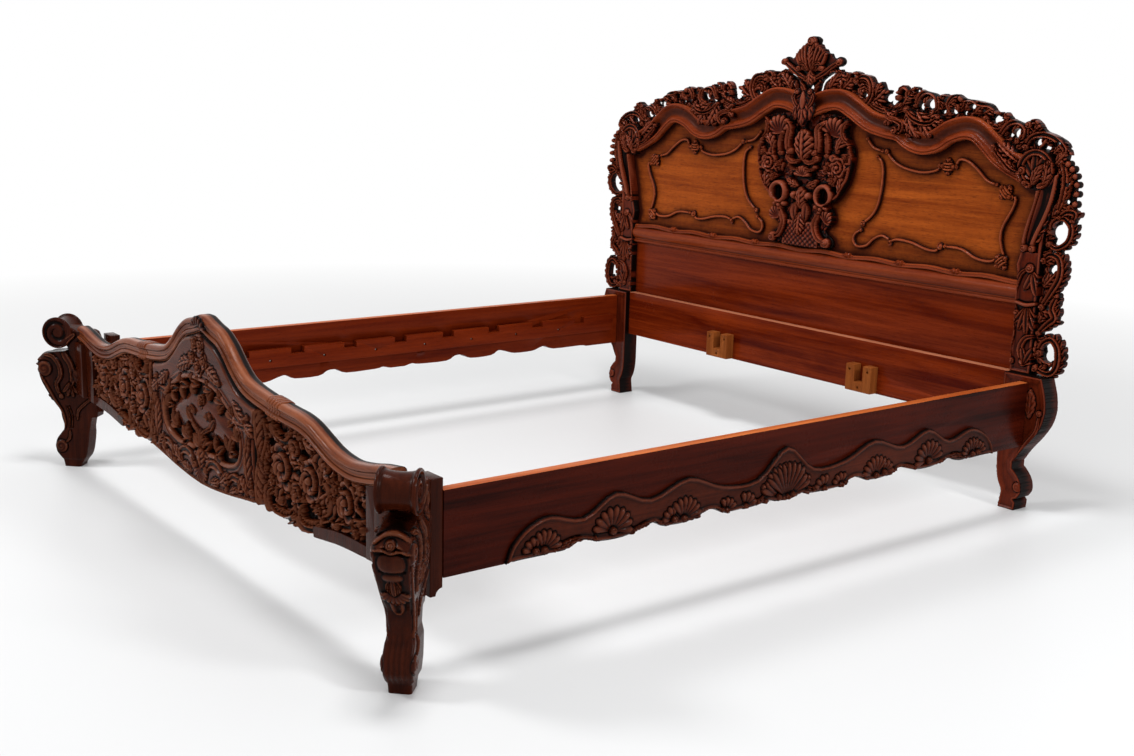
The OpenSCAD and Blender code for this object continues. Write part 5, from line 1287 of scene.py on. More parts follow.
SHIELD = [[0, 625], [100, 606], [150, 580], [195, 545], [245, 515], [300, 496], [338, 488], [334, 400],
    [334, 320], [334, 250], [332, 224], [290, 217], [245, 211], [185, 203], [128, 197], [70, 192], [0, 189]]
FIELD = [[0, 474], [90, 468], [170, 438], [232, 400], [250, 350], [224, 306], [150, 286], [70, 292],
    [0, 280]]
VINE_LEAVES = [
    # root, heading, length, bend
    ((10, 292), 14, 70, 0.3), ((84, 298), 12, 72, 0.3), ((168, 316), 40, 68, 0.35),
    ((232, 358), 96, 60, 0.3), ((208, 410), 150, 66, 0.2), ((142, 440), 164, 70, 0.2),
    ((66, 460), 176, 58, 0.1)]
VINE_STEM = [(4, 300), (14, 334), (44, 350), (72, 372), (58, 396), (42, 386)]
SHIELD_SCROLLS = [
    ([(36, 238), (66, 264), (110, 266), (150, 244), (172, 222)], 24, 13, 11, -1, -1),
    ([(178, 242), (212, 264), (256, 258), (290, 234)], 20, 10, 11, 1, 1),
    ([(322, 250), (308, 300), (302, 350), (308, 400), (298, 434)], 20, 11, 12, 1, -1)]
SHIELD_LEAVES = [
    # root, heading from upright, length, width, lobes, bend
    (300, 254, -4, 120, 50, 5, 0.0), (236, 222, 40, 66, 42, 4, 0.2), (118, 224, 70, 74, 42, 4, 0.2),
    (276, 430, 130, 74, 42, 4, 0.2), (40, 522, 100, 104, 46, 5, -0.15), (60, 214, 84, 64, 34, 4, 0.1),
    (180, 214, 76, 64, 34, 4, 0.1), (296, 232, -30, 60, 36, 4, 0.2), (214, 462, 126, 84, 40, 4, 0.1)]
SHIELD_FLOWERS = [(0, 512, 27, 6), (-36, 534, 23, 5), (36, 534, 23, 5), (-19, 572, 21, 5), (19, 572, 21, 5)]


def foot_cartouche():
    """A shield with doubled lines, an oval rimmed with curled leaves, and scrolls along its foot."""
    r = Relief((-340, 186), (340, 626), 1.9, 42)
    r.within(whole(SHIELD))
    edge = -r.area
    field = outline_distance(r.uu, r.vv, whole(FIELD))
    below = [(1400, 300), (1400, 0), (-1400, 0), (-1400, 300)]
    cap = -outline_distance(r.uu, r.vv, np.vstack([whole(CAP), below]))
    ridges = sum(high * np.exp(-(((d - at) / wide) ** 2)) for d, at, wide, high in
        ((field, 7, 5, 6), (field, 21, 3.4, 3), (cap, 34, 4, 6), (cap, 48, 3, 3)))
    r.h = np.where(field < 0, 26 + 13 * ease((-field - 26) / 46), 39 + 3 * ease(field / 60) + ridges)
    for s in (1, -1):
        for (u, v), turn, length, bend in VINE_LEAVES:
            fan(r, (s * u, v), 90 - s * (90 - turn), length * 0.74, 22, 3, 74, 25, 45, s * bend)
        r.scroll([(s * u, v) for u, v in VINE_STEM], 12, 32, 47, 0, 10)
        r.finger((s * 50, 352), 90 - s * 66, 52, 20, 32, 46, s * 0.3)
    fan(r, (0, 286), 90, 60, 22, 3, 50, 28, 47)
    r.flower((0, 420), 20, 5, 30, 46)
    for s in (1, -1):
        for path, width, start, end, *ways in SHIELD_SCROLLS:
            path = [(s * u, v) for u, v in path]
            scrolls(r, [(path, width, start, end, [s * way for way in ways])], 36, 50)
        for u, v, turn, *form, bend in SHIELD_LEAVES:
            leaves(r, [((s * u, v), 90 - s * turn, *form, s * bend)], 36, 50)
    r.shell((0, 240), -90, 48, 9, 150, 36, 50)
    r.leaf((0, 236), 90, 60, 56, 4, 36, 50)
    rope = 8 * np.abs(np.sin(math.pi * r.uu / 11)) * np.sqrt(np.clip(1 - ((edge - 6.5) / 7) ** 2, 0, 1))
    r.h = np.where((edge < 13) & (r.vv < 232), 40 + rope, r.h)
    flowers(r, SHIELD_FLOWERS, 38, 50)
    clear_both(r, CAP_BAND)
    r.round_edge(12, 20)
    return r


FOOT_EDGE = [[330, 214], [372, 208], [400, 220], [440, 212], [470, 216], [510, 212], [560, 216], [600, 218],
    [640, 228], [690, 246], [760, 258], [830, 262], [884, 256]]
FOOT_SCROLLS = [
    ([(352, 452), (374, 404), (350, 352), (344, 300), (360, 256)], 26, 13, 14, (1, -1)),
    ([(456, 262), (420, 292), (384, 276), (382, 240), (420, 216), (480, 218), (530, 240)], 27, 15, 12,
        (-1, 1)),
    ([(574, 296), (550, 262), (566, 230), (612, 228), (656, 248)], 24, 13, 11),
    ([(664, 268), (712, 290), (722, 336), (692, 368), (656, 354)], 24, 12, 14),
    ([(744, 276), (800, 286), (838, 314), (862, 296)], 22, 12, 12, (1, -1)),
    ([(404, 458), (430, 418), (480, 410), (520, 440)], 22, 12, 11, (1, -1))]
FOOT_FLOWERS = [[452, 346, 62, 6], [596, 346, 56, 6], [768, 338, 50, 6], [530, 296, 34, 5],
    [522, 408, 34, 5], [676, 404, 36, 5], [846, 392, 32, 5], [400, 300, 22, 5], [820, 280, 20, 5],
    [640, 288, 22, 5], [720, 356, 20, 5]]
FOOT_LEAVES = [((380, 340), 124, 124, 62, 5, 0.2), ((470, 280), -60, 96, 58, 4, 0.2),
    ((520, 350), 70, 112, 58, 5, 0.2), ((620, 380), 34, 120, 60, 5, 0.2), ((690, 296), -40, 92, 54, 4, 0.2),
    ((740, 380), 60, 90, 56, 4, 0.2), ((552, 280), -150, 104, 56, 4, 0.2),
    ((862, 400), -130, 100, 52, 4, 0.2), ((400, 290), 20, 100, 56, 4, -0.2),
    ((460, 400), 24, 100, 54, 4, 0.2), ((610, 276), 16, 100, 56, 4, 0.2), ((720, 350), -160, 96, 52, 4, 0.2),
    ((800, 266), 60, 84, 50, 4, 0.2), ((366, 430), -64, 84, 50, 4, 0.2), ((560, 440), -20, 84, 50, 4, 0.2),
    ((440, 244), 150, 80, 46, 4, 0.2), ((800, 390), 20, 84, 46, 4, 0.2), ((646, 340), 100, 84, 48, 4, 0.2)]
FOOT_HOLES = [[400, 396, 10], [508, 352, 8], [566, 404, 9], [664, 340, 10], [706, 322, 7], [760, 404, 10],
    [764, 262, 10], [490, 262, 13], [846, 350, 10], [408, 252, 10], [624, 292, 8], [702, 258, 9],
    [396, 348, 7], [826, 322, 8], [640, 430, 8], [590, 262, 9], [724, 398, 8], [540, 350, 7], [470, 428, 8]]
BOTTOM_RAIL = [[626, 230], [680, 238], [740, 246], [800, 250], [850, 251], [888, 252]]


def bottom_band():
    """Outline of the small arched rail beside the leg."""
    path = curve(pts(BOTTOM_RAIL), 4)
    d = 15 * (0.8 + 0.2 * np.sqrt(np.abs(np.sin(np.linspace(0, math.pi, len(path))))))
    return np.vstack([beside(path, d[:, None]), beside(path, -d[:, None])[::-1]])


def foot_carving():
    """Large blossoms and leaves, pierced between."""
    r = Relief((325, 205), (872, 500), 1.9, 10)
    top = cap_path[(cap_path[:, 0] > 325) & (cap_path[:, 0] < FOOT_IN)]
    r.within(np.vstack([pts(FOOT_EDGE), top[::-1]]))
    r.thicket(21, 38, lambda p: 40 + 50 * math.sin(p[0] / 70) + 40 * math.cos(p[1] / 50),
        6, 16, 78, 32, 0, 60)
    leaves(r, FOOT_LEAVES, 8, 31)
    scrolls(r, FOOT_SCROLLS, 10, 36, 1)
    flowers(r, FOOT_FLOWERS, 8, 38)
    for s in (1, -1):
        r.leaf((344, 350), s * 92, 130, 44, 5, 22, 46)
    for u, v, size in FOOT_HOLES:
        r.hole(spot(u, v), size, 1.2, u * 7)
    r.without(CAP_BAND)
    r.without(whole(SHIELD), GAP)
    r.without(bottom_band(), GAP)
    r.area = np.maximum(r.area, r.uu - FOOT_IN + GAP)
    r.round_edge(4, 8)
    return r


def foot_crown():
    """A shell clasp and flowers over the joint of the cap."""
    r = Relief((-60, 520), (60, 660), 1.4, 2)
    r.shell((0, 598), 90, 52, 9, 190, 2, 12, grow=0)
    r.leaf((0, 600), -90, 60, 44, 4, 2, 10, grow=0)
    for s in (1, -1):
        r.scroll([(s * 8, 588), (s * 30, 584), (s * 48, 592)], 13, 2, 11, 0, 11, (1, s), grow=0)
    flowers(r, ((-22, 566, 20, 5), (22, 566, 20, 5), (0, 548, 22, 6)), 2, 11, grow=0)
    r.without(whole(SHIELD))
    r.round_edge(3, 2)
    return r


# Side rails

LOWER = [[0.076, 0], [0.090, 5], [0.155, 5], [0.176, 20], [0.190, 15], [0.206, 6], [0.246, 6], [0.268, 18],
    [0.284, 24], [0.300, 8], [0.345, 7], [0.362, 23], [0.380, 23], [0.398, 7], [0.456, 8], [0.470, 13],
    [0.486, 6], [0.500, 7]]
UPPER = [[0.076, 0.02], [0.084, 0.28], [0.104, 0.52], [0.134, 0.64], [0.180, 0.50], [0.226, 0.80],
    [0.278, 0.58], [0.336, 0.80], [0.392, 0.54], [0.450, 0.52], [0.500, 1]]


def wave(rows, high):
    """A wavy line along the whole rail, from the half of it that is next to the foot."""
    half = [(p[0] * RAIL_L, RAIL_BOTTOM + p[1] * high) for p in rows]
    return curve(half + [(RAIL_L - u, v) for u, v in half[-2::-1]], 4)


# share of the length, height, heading, radius, ribs and spread of each ribbed leaf
APRON_ROWS = [(0.114, 16, 118, 38, 4, 120), (0.126, 14, 62, 52, 6, 120), (0.222, 24, 80, 63, 9, 190),
    (0.314, 18, 130, 40, 4, 110), (0.330, 14, 70, 60, 7, 130), (0.398, 10, 70, 38, 4, 110),
    (0.430, 10, 60, 42, 4, 110), (0.464, 10, 56, 52, 5, 110), (0.488, 14, 108, 72, 6, 110),
    (0.497, 8, 84, 100, 8, 100)]
APRON_CURLS = [(0.140, 0.196), (0.250, 0.302), (0.352, 0.392), (0.480, 0.450)]


def apron():
    """Groups of leaves and shells along a smooth wavy rim."""
    r = Relief((150, 205), (1950, 362), 2.3, 9.6)
    r.within(np.vstack([wave(UPPER, 150), wave(LOWER, 1)[::-1]]))
    edge = -r.area
    z = RAIL_BOTTOM
    for s in (1, -1):
        for ends in APRON_CURLS:
            u0, u1 = (share * RAIL_L if s > 0 else RAIL_L - share * RAIL_L for share in ends)
            r.scroll([(u0, z + 14), ((u0 + u1) / 2, z + 26), (u1, z + 16)], 12, 7, 18, 9, 8, (s, -s))
        for share, up, turn, size, ribs, spread in APRON_ROWS:
            u = share * RAIL_L if s > 0 else RAIL_L - share * RAIL_L
            a = turn if s > 0 else 180 - turn
            r.shell((u, z + up), a, size, ribs, spread, 5, 20)
            r.volute((u, z + up + 2), 10, 8, 21, a, s)
    rim = 9 + 5 * np.exp(-(((edge - 6) / 4) ** 2))
    r.h = np.where((edge < 12) & (r.h < rim + 2), rim, r.h)
    r.round_edge(4, 5)
    return r


def rail_side(side):
    """Stands a relief up on the outside of a rail. Its u runs from the rail's foot end."""
    def place(u, v, h):
        return np.stack([side * (RAIL_OUT + h), u - MID_Y, v], 1) * MM
    return place


HEAD_LEG = [[18, 0], [78, 0], [80, 26], [72, 34]]
HEAD_LEG_TOE = [[84, 40], [96, 62], [92, 92], [74, 118], [58, 132]]
HEAD_LEG_HIP = [[57, 150], [82, 190], [117, 235], [144, 280], [155, 325], [151, 370], [139, 410]]
HEAD_LEG_INNER = [[0, 200], [1, 130], [10, 84], [24, 56], [22, 30]]


def head_leg():
    """A cabriole leg with a raised edge, a scroll foot, and a leaf and a scroll on its hip."""
    r = Relief((905, 0), (1075, LEDGE), 2.0, 64)
    top = [[132, LEDGE], [0, LEDGE]]
    r.within(np.vstack([HEAD_LEG, curve(HEAD_LEG_TOE, 4), curve(HEAD_LEG_HIP, 4), top,
        curve(HEAD_LEG_INNER, 4)]) + (STILE_IN, 0))
    edge = -r.area
    r.h = 63 + 3.2 * np.exp(-(((edge - 4) / 3.2) ** 2)) - 3 * ease((edge - 8) / 16) * ease((r.vv - 30) / 40)
    r.volute((STILE_IN + 82, 76), 16, 62, 66.5, 90, -1, 1.8)
    r.leaf((STILE_IN + 96, 300), 84, 90, 40, 4, 61, 66.5, 0.1)
    path = np.add([(60, 150), (92, 210), (128, 264), (134, 320)], (STILE_IN, 0))
    r.scroll(path, 12, 61, 66, 0, 10)
    r.above(0.5)
    r.round_edge(4, 4)
    return r


def boards():
    """Every board with a relief, the paired ones on both sides."""
    for name, make, back, material, slot in (
            ("side_carving", side_carving, CREST_Y + 26, stile_wood, "carved_wood"),
            ("head_stile", stile, HEAD_BACK, stile_wood, "carved_wood"),
            ("crest_carving", crest, CREST_BACK, carved_dark, "carved_wood"),
            ("head_leg", head_leg, HEAD_BACK, stile_wood, "carved_wood"),
            ("foot_carving", foot_carving, FOOT_BACK, foot_wood, "foot_wood")):
        relief = make()
        for side, word in SIDES:
            carve(f"carved_{name}_{word}", relief, front_of(back, side), material, [f"{name}_{word}"])
    relief, strip = apron(), arch_acanthus()
    for side, word in SIDES:
        carve(f"carved_apron_{word}", relief, rail_side(side), apron_wood, [f"apron_{word}"])
        carve(f"carved_arch_leaves_{word}", strip, front_of(HEAD_BACK, side), carved_dark, back=26)
        carve(f"carved_panel_scrolls_{word}", panel_scrolls(SCROLL_SHIFTS[side]), front_of(PANEL_Y, side),
            arch_wood, [f"panel_scrolls_{word}"])
    for name, make, back, material, replaced, slot in (
            ("polished_upper_panel", upper_panel, HEAD_BACK, panel_warm, "head_upper_panel", "panel_wood"),
            ("carved_finial", finial, CREST_BACK, carved_dark, "crest_finial", "carved_wood"),
            ("carved_keystone", keystone, ARCH_Y, carved_dark, "keystone_leaf", "carved_wood"),
            ("carved_cartouche", cartouche, PANEL_Y, carved_dark, "center_cartouche", "carved_wood"),
            ("carved_foot_cartouche", foot_cartouche, FOOT_BACK, foot_wood, "foot_cartouche", "foot_wood"),
            ("carved_foot_crown", foot_crown, FOOT_Y - 23, foot_wood, "foot_crown", "foot_wood")):
        carve(name, make(), front_of(back), material, [replaced])


# Foot legs: lofts round two outlines, with carving laid on their fronts and sides


LEG_FRONT = [[-6, 0], [-3, 18], [2, 30], [16, 50], [19, 72], [13, 93], [-2, 113], [-12, 131], [-4, 165],
    [0, 188], [20, 218], [44, 262], [57, 301], [62, 328], [58.5, 346], [47, 364], [38, 376], [10, 381],
    [-22, 385], [-40, 392], [-36, 420], [-34, 445], [-24, 472]]
LEG_BACK = [[-62, 0], [-66, 12], [-84, 40], [-94, 90], [-98, 130], [-108, 168], [-128, 186], [-128, 421],
    [-80, 451], [-37, 472]]
LEG_HALF = [[26, 0], [27, 22], [32, 30], [33.5, 60], [33, 112], [28, 132], [28, 170], [31, 205], [35, 250],
    [40, 300], [40, 356], [37, 370], [34, 386], [38, 402], [40, 472]]
ROLL_U, ROLL_Z, ROLL_R, ROLL_HALF = -11, 445, 50, 44


def canvas(low, high):
    """A relief that is laid over a leg, and isn't cut to an outline."""
    r = Relief(low, high, 1.0, 0)
    r.area[:] = -1
    return r


def sample(relief, grid, u, v):
    """Values of a canvas's grid at places between its points."""
    x = np.clip((u - relief.u[0]) / relief.step, 0, len(relief.u) - 1.001)
    y = np.clip((v - relief.v[0]) / relief.step, 0, len(relief.v) - 1.001)
    i, j = x.astype(int), y.astype(int)
    p, q = x - i, y - j
    near = grid[i, j] * (1 - p) + grid[i + 1, j] * p
    far = grid[i, j + 1] * (1 - p) + grid[i + 1, j + 1] * p
    return near * (1 - q) + far * q


def leg_front():
    """Fluted foot, plain shaft, pendant of acanthus under a round boss, and a leaf cap with a ringed bud."""
    r = canvas((-44, 0), (44, 476))
    y, z = r.uu, r.vv
    top = 136 - 18 * (np.abs(y) / 33) ** 1.2
    flutes = 3.2 * np.abs(np.cos(math.pi * y / 11.5)) ** 0.7 - 2.2
    r.h = np.where((z > 24) & (z < top), flutes * ease((z - 24) / 6), 0)
    r.h -= 3.0 * np.exp(-(((z - top - 1) / 2.2) ** 2))
    r.h += np.where((z > 140) & (z < 180), -1.6 * (1 - (y / 30) ** 2), 0)
    for s in (1, -1):
        r.strand([(s * 30, 150), (s * 33, 205), (s * 36, 262), (s * 37, 330)], 6, 0, 3.4, "round")
        r.finger((s * 12, 226), -90 - s * 8, 36, 14, 0, 4, section="flat")
    r.finger((0, 236), -90, 58, 30, 0, 5, section="flat")
    for x in (-5, 0, 5):
        r.strand([(x, 204), (x * 0.8, 186)], 1.6, 3.5, 0.5, "round", 1.0)
    r.shell((0, 246), -90, 38, 8, 150, 1.5, 7.5)
    for turn, length in ((-52, 34), (-128, 34), (-68, 40), (-112, 40), (-80, 44), (-100, 44), (-90, 46)):
        r.finger((0, 277), turn, length, 12, 1.5, 8.5, (turn + 90) * -0.006)
    lump = np.clip(1 - (y / 30) ** 2 - ((z - 312) / 28) ** 2, 0, 1)
    r.h = np.maximum(r.h, 10 * np.sqrt(lump))
    chin = np.clip(1 - (y / 22) ** 2 - ((z - 279) / 11) ** 2, 0, 1)
    r.h = np.maximum(r.h, 8 * np.sqrt(chin))
    r.h -= 4 * np.exp(-(((z - 290 - 0.004 * y * y) / 2.2) ** 2)) * (np.abs(y) < 30)
    r.h -= 3.5 * np.exp(-(((z - 337 + 0.006 * y * y) / 2.5) ** 2))
    r.strand([(-41, 343), (-22, 356), (0, 361), (22, 356), (41, 340)], 26, 2, 9.5, "hollow", 0.7)
    r.strand([(-40, 350), (-18, 368), (6, 372), (30, 364), (42, 352)], 9, 3, 10.5, "round", 0.5)
    r.volute((-2, 351), 12, 4, 12.5, 0, 1, 2.6)
    r.strand([(-41, 338), (-20, 341), (0, 336), (20, 340), (40, 333)], 7, 3, 10, "round", 0.6)
    for s in (1, -1):
        r.strand([(s * 30, 394), (s * 14, 402), (s * 8, 420)], 9, 0, 4, "hollow")
    return r


def leg_side():
    """C-scrolls that fall from the roll, a curled nose, and a small scroll on the foot."""
    r = canvas((-132, 0), (72, 476))
    r.volute((38, 327), 25, 0.5, 7, 60, -1, 1.5)
    r.strand([(52, 306), (30, 262), (10, 222), (-10, 186), (-18, 150), (-14, 126)], 9, 0, 4, "round", 0.6)
    r.strand([(-66, 440), (-40, 416), (-30, 380), (-52, 344), (-58, 300), (-44, 268)], 19, 0.5, 7, "hollow",
        0.7)
    for k, (turn, length) in enumerate(((-112, 44), (-96, 52), (-80, 52), (-64, 44))):
        r.finger((-46, 286), turn, length, 13, 0.5, 6.5, 0.12 * (k - 1.5))
    r.strand([(34, 372), (8, 366), (-12, 340), (-16, 306), (0, 276), (-8, 240)], 14, 0.5, 6.5, "hollow", 0.6)
    r.volute((-12, 236), 9, 0.5, 7, -90, 1)
    r.leaf((-96, 250), 78, 84, 40, 4, 0.5, 5.5, -0.2)
    r.leaf((-104, 360), 60, 66, 34, 3, 0.5, 5.5, 0.25)
    r.strand([(-120, 238), (-90, 214), (-66, 190), (-60, 160)], 10, 0, 4.5, "hollow", 0.5)
    for x in (-4, -13):
        r.strand([(x - 22, 204), (x - 30, 170), (x - 28, 132)], 3.4, 0, 2.4, "round", 0.6)
    r.volute((-4, 70), 21, 0.5, 5.5, 20, -1, 1.7)
    r.strand([(-22, 84), (-34, 100), (-34, 122)], 9, 0, 4, "hollow", 0.5)
    return r


def leg_ring(out, back, half):
    """A ring round a leg: how far each point lies out and across, and how much it faces either way."""
    r = min(8.0, half * 0.3, (out - back) * 0.3)
    a = np.radians(np.linspace(0, 90, 6))
    across = np.linspace(-(half - r), half - r, 44)
    along = np.linspace(out - r, back + r, 60)[1:-1]
    one = np.ones
    front = np.stack([one(44) * out, across, one(44), across * 0], 1)
    side = [np.stack([out - r + r * np.cos(a), half - r + r * np.sin(a), np.cos(a), np.sin(a)], 1)[1:],
        np.stack([along, one(58) * half, along * 0, one(58)], 1),
        np.stack([back + r - r * np.sin(a), half - r + r * np.cos(a), -np.sin(a), np.cos(a)], 1)[:-1]]
    behind = np.stack([one(10) * back, np.linspace(half - r, r - half, 10), -one(10), one(10) * 0], 1)
    return np.vstack([front, *side, behind, *(part[::-1] * (1, -1, 1, -1) for part in side[::-1])])


def leg_loft(front, side):
    """The body of a leg as (out, across, up, tone) points and faces."""
    heights = np.concatenate([np.arange(0, 366, 2.2), np.arange(366, 396, 0.9), np.arange(396, 472.1, 2.4)])
    lines = curve(LEG_FRONT, 4), curve(LEG_BACK, 4), np.array(LEG_HALF, float)
    front_tone, side_tone = front.tone(), side.tone()
    rows = []
    for z in heights:
        ring = leg_ring(*(np.interp(z, line[:, 1], line[:, 0]) for line in lines))
        f, s = np.clip(ring[:, 2], 0, 1) ** 2, ring[:, 3] ** 2
        zz = np.full(len(ring), z)
        fade = 1 - ease((z - 374) / 6) * ease((392 - z) / 4)
        lift = sample(front, front.h, ring[:, 1], zz) * f * fade + sample(side, side.h, ring[:, 0], zz) * s
        lift *= ease(z / 20)
        tone = sample(front, front_tone, ring[:, 1], zz) * f + sample(side, side_tone, ring[:, 0], zz) * s
        tone += 0.5 * (1 - f - s)
        rows.append(np.column_stack([ring[:, :2] + ring[:, 2:] * lift[:, None], zz, tone]))
    return np.vstack(rows), tube_faces(len(rows), len(rows[0]))


def leg_roll():
    """The roll: a barrel with a hollow waist and raised rims, and a spiral cut in either end."""
    h, count = ROLL_HALF, 96
    barrel = [(ROLL_R - 2, -h), (ROLL_R, -h + 2.5), (ROLL_R, -h + 6), (ROLL_R - 2, -h + 8.5)]
    waist = np.linspace(0, math.pi, 14)
    barrel += [(ROLL_R * (0.93 - 0.12 * math.sin(x)), -math.cos(x) * (h - 10)) for x in waist]
    barrel += [(r, -y) for r, y in barrel[3::-1]]
    ends = np.linspace(ROLL_R - 4, 2, 22)
    a = np.linspace(0, 2 * math.pi, count, endpoint=False)

    def depth(r):
        coil = 0.5 - 0.5 * np.cos(2 * math.pi * (a / (2 * math.pi) + r / ROLL_R * 1.9))
        body = 7.5 * coil**1.5 * ease((ROLL_R - 3 - r) / 5)
        return np.where(r < 13, 1.5, body)

    # The ends' tone paints shade in the spiral cut, the darker the deeper it goes
    rows = [(r, depth(r) - h, 0.42 + depth(r) * 0.06) for r in ends[::-1]]
    for r, y in barrel:
        # The rims take a lighter tone, a painted highlight, and the grooves inside them a darker one,
        # painted shade
        tone = 0.36 if abs(y) > h - 7 else 0.6 if abs(y) > h - 14 else 0.46
        rows.append((r, np.full(count, y), np.full(count, tone)))
    rows += [(r, h - depth(r), 0.42 + depth(r) * 0.06) for r in ends]
    points = [np.stack([ROLL_U + r * np.cos(a), y, ROLL_Z + r * np.sin(a), tone], 1) for r, y, tone in rows]
    return np.vstack(points), [f[::-1] for f in tube_faces(len(rows), count)]


def boxed(low, high, edge):
    """A block with worn edges."""
    bm = bmesh.new()
    bmesh.ops.create_cube(bm, size=1)
    for v in bm.verts:
        v.co = [(low[i] + high[i]) / 2 + v.co[i] * (high[i] - low[i]) for i in range(3)]
    bmesh.ops.bevel(bm, geom=list(bm.edges), offset=edge, segments=3, profile=0.5, affect="EDGES")
    bm.verts.ensure_lookup_table()
    points = np.array([[*v.co, 0.5] for v in bm.verts])
    faces = [[v.index for v in f.verts] for f in bm.faces]
    bm.free()
    return points, faces


def foot_legs():
    """Both legs of the footboard: a turned body with its roll, round a straight core."""
    points, faces = joined([leg_loft(leg_front(), leg_side()), leg_roll()])
    c = math.sqrt(0.5)
    out, across = 212 + points[:, 0], points[:, 1]
    corner = np.stack([915 + c * out + c * across, -c * out + c * across, points[:, 2], points[:, 3]], 1)
    points, faces = joined([(corner, faces), boxed((927, -129.7, 246), (991, -32, 419), 2)])
    for side, word in SIDES:
        xyz = np.stack([side * points[:, 0], points[:, 1] - MID_Y, points[:, 2]], 1) * MM
        add_piece(f"carved_foot_leg_{word}", xyz, faced(faces, side), [f"foot_leg_{word}"], foot_upright,
            42, points[:, 3])


# Plain pieces: copies of the frame's solids with worn edges


def worn(nodes, material, edge, others=(), which=None):
    """Copies a plain solid, joins its faces and rounds its longer edges. which picks a face's material."""
    for name in nodes:
        source = frame["nodes"][name]
        bm = bmesh.new()
        bm.from_mesh(source.data)
        bm.transform(source.matrix_world)
        bmesh.ops.remove_doubles(bm, verts=bm.verts, dist=0.00002)
        bmesh.ops.dissolve_limit(bm, angle_limit=math.radians(1.5), verts=bm.verts, edges=bm.edges)
        long = [e for e in bm.edges if len(e.link_faces) == 2 and e.calc_face_angle(0) > math.radians(50)
            and e.calc_length() > 0.012]
        bmesh.ops.bevel(bm, geom=long, offset=edge * MM, segments=2, profile=0.6, affect="EDGES",
            clamp_overlap=True)
        bmesh.ops.recalc_face_normals(bm, faces=bm.faces)
        mesh = bpy.data.meshes.new(f"worn_{name}")
        bm.to_mesh(mesh)
        bm.free()
        for each in (material, *others):
            mesh.materials.append(each)
        if which:
            for face in mesh.polygons:
                face.material_index = which(face)
        finish_piece(f"worn_{name}", mesh, [name], 35, np.full(len(mesh.vertices), 0.5))


# Mouldings, ribbon, knots and screws


ARCH_FRONT = [(36, 40), (36, 43.5), (35.4, 46.4), (33.8, 48.8), (31.4, 49.9), (29, 49.4), (27.4, 47.6),
    (26.8, 45.2), (25.2, 44.8), (23.4, 41.5), (20, 36.2), (15, 32), (8, 29.6), (0, 29.6), (-7, 31.8),
    (-12.6, 35.6), (-16.6, 40), (-17.2, 42), (-18.8, 42.4), (-19.6, 44.8), (-21.4, 46.8), (-24, 47.6),
    (-26.4, 46.8), (-27.6, 44.6), (-28.8, 44.4), (-29.4, 46.6), (-31, 48.2), (-33.2, 48.2), (-35, 46.6),
    (-36, 43.8)]
ARCH_SECTION = [(-27.7, 0), (36, 0), *ARCH_FRONT, (-36, 14.3), (-27.7, 14.3)]
CAP_FRONT = [(23, 9), (22.4, 14), (20.4, 18.4), (16.8, 21.6), (12.6, 22.8), (9, 21.8), (7, 19.2),
    (6.6, 15.4), (5.6, 15), (5.2, 17.6), (3.2, 17.2), (0, 15.4), (-3.6, 15.6), (-6, 17), (-6.8, 14.4),
    (-7.8, 14.4), (-8.2, 18.6), (-10.2, 21.2), (-12.8, 22.6), (-15.8, 22.2), (-18, 20.2), (-18.4, 16.4),
    (-19.4, 16), (-20, 18.6), (-21.6, 17.2), (-23, 13.6)]
CAP_SECTION = [(a, -h) for a, h in CAP_FRONT[::-1]] + CAP_FRONT
MID_FRONT = [(65, 17), (64.4, 21), (62.6, 26), (59.4, 31.4), (54.6, 36.4), (48.4, 39.8), (41.4, 41),
    (34.6, 40), (28.4, 37), (23, 32.6), (18.6, 28.6), (17, 28.2), (13.4, 28), (12.9, 25.2), (12.6, 28.6),
    (10.6, 30.8), (7.4, 31.8), (4.2, 31.2), (1.8, 28.6), (1, 24.6), (0, 21)]
MID_SECTION = [(0, 0), (65, 0), *MID_FRONT]
KNOT_PITCH = 228.5 * STRETCH


def along(path, section, back_y, side=1, to_circle=None):
    """A moulding as metres in the bed's frame, with its tone and its faces. Its last ring can be drawn on to
    a circle, as (centre, radius)."""
    points, faces = moulding(path, section)
    if to_circle:
        last = slice(len(points) - len(section), len(points))
        ahead = (path[-1] - path[-2]) / np.linalg.norm(path[-1] - path[-2])
        away = points[last, :2] - to_circle[0]
        b, c = away @ ahead, (away**2).sum(1) - to_circle[1] ** 2
        points[last, :2] += (-b - np.sqrt(np.maximum(b * b - c, 0)))[:, None] * ahead
    return front_of(back_y, side)(*points[:, :3].T), points[:, 3], faced(faces, side)


def mouldings():
    """The arch, the cap of the footboard and the middle rail."""
    for side, word in SIDES:
        xyz, tone, faces = along(arch_path, ARCH_SECTION, HEAD_BACK, side, (CORNER, CORNER_R + GAP))
        add_piece(f"arch_moulding_{word}", xyz, faces, [f"arch_frame_{word}"], arch_wood, 38,
            tone)
        xyz, tone, faces = along(cap_path, CAP_SECTION, FOOT_Y, side)
        add_piece(f"foot_cap_{word}", xyz, faces, [f"foot_top_rail_{word}"], cap_wood, 38, tone)
    line = [(-STILE_IN, 635), (0, 635), (STILE_IN, 635)]
    xyz, tone, faces = along(line, MID_SECTION, 2163 - MID_Y)
    add_piece("cushion_moulding", xyz, faces, ["head_mid_rail"], arch_wood, 40, tone)


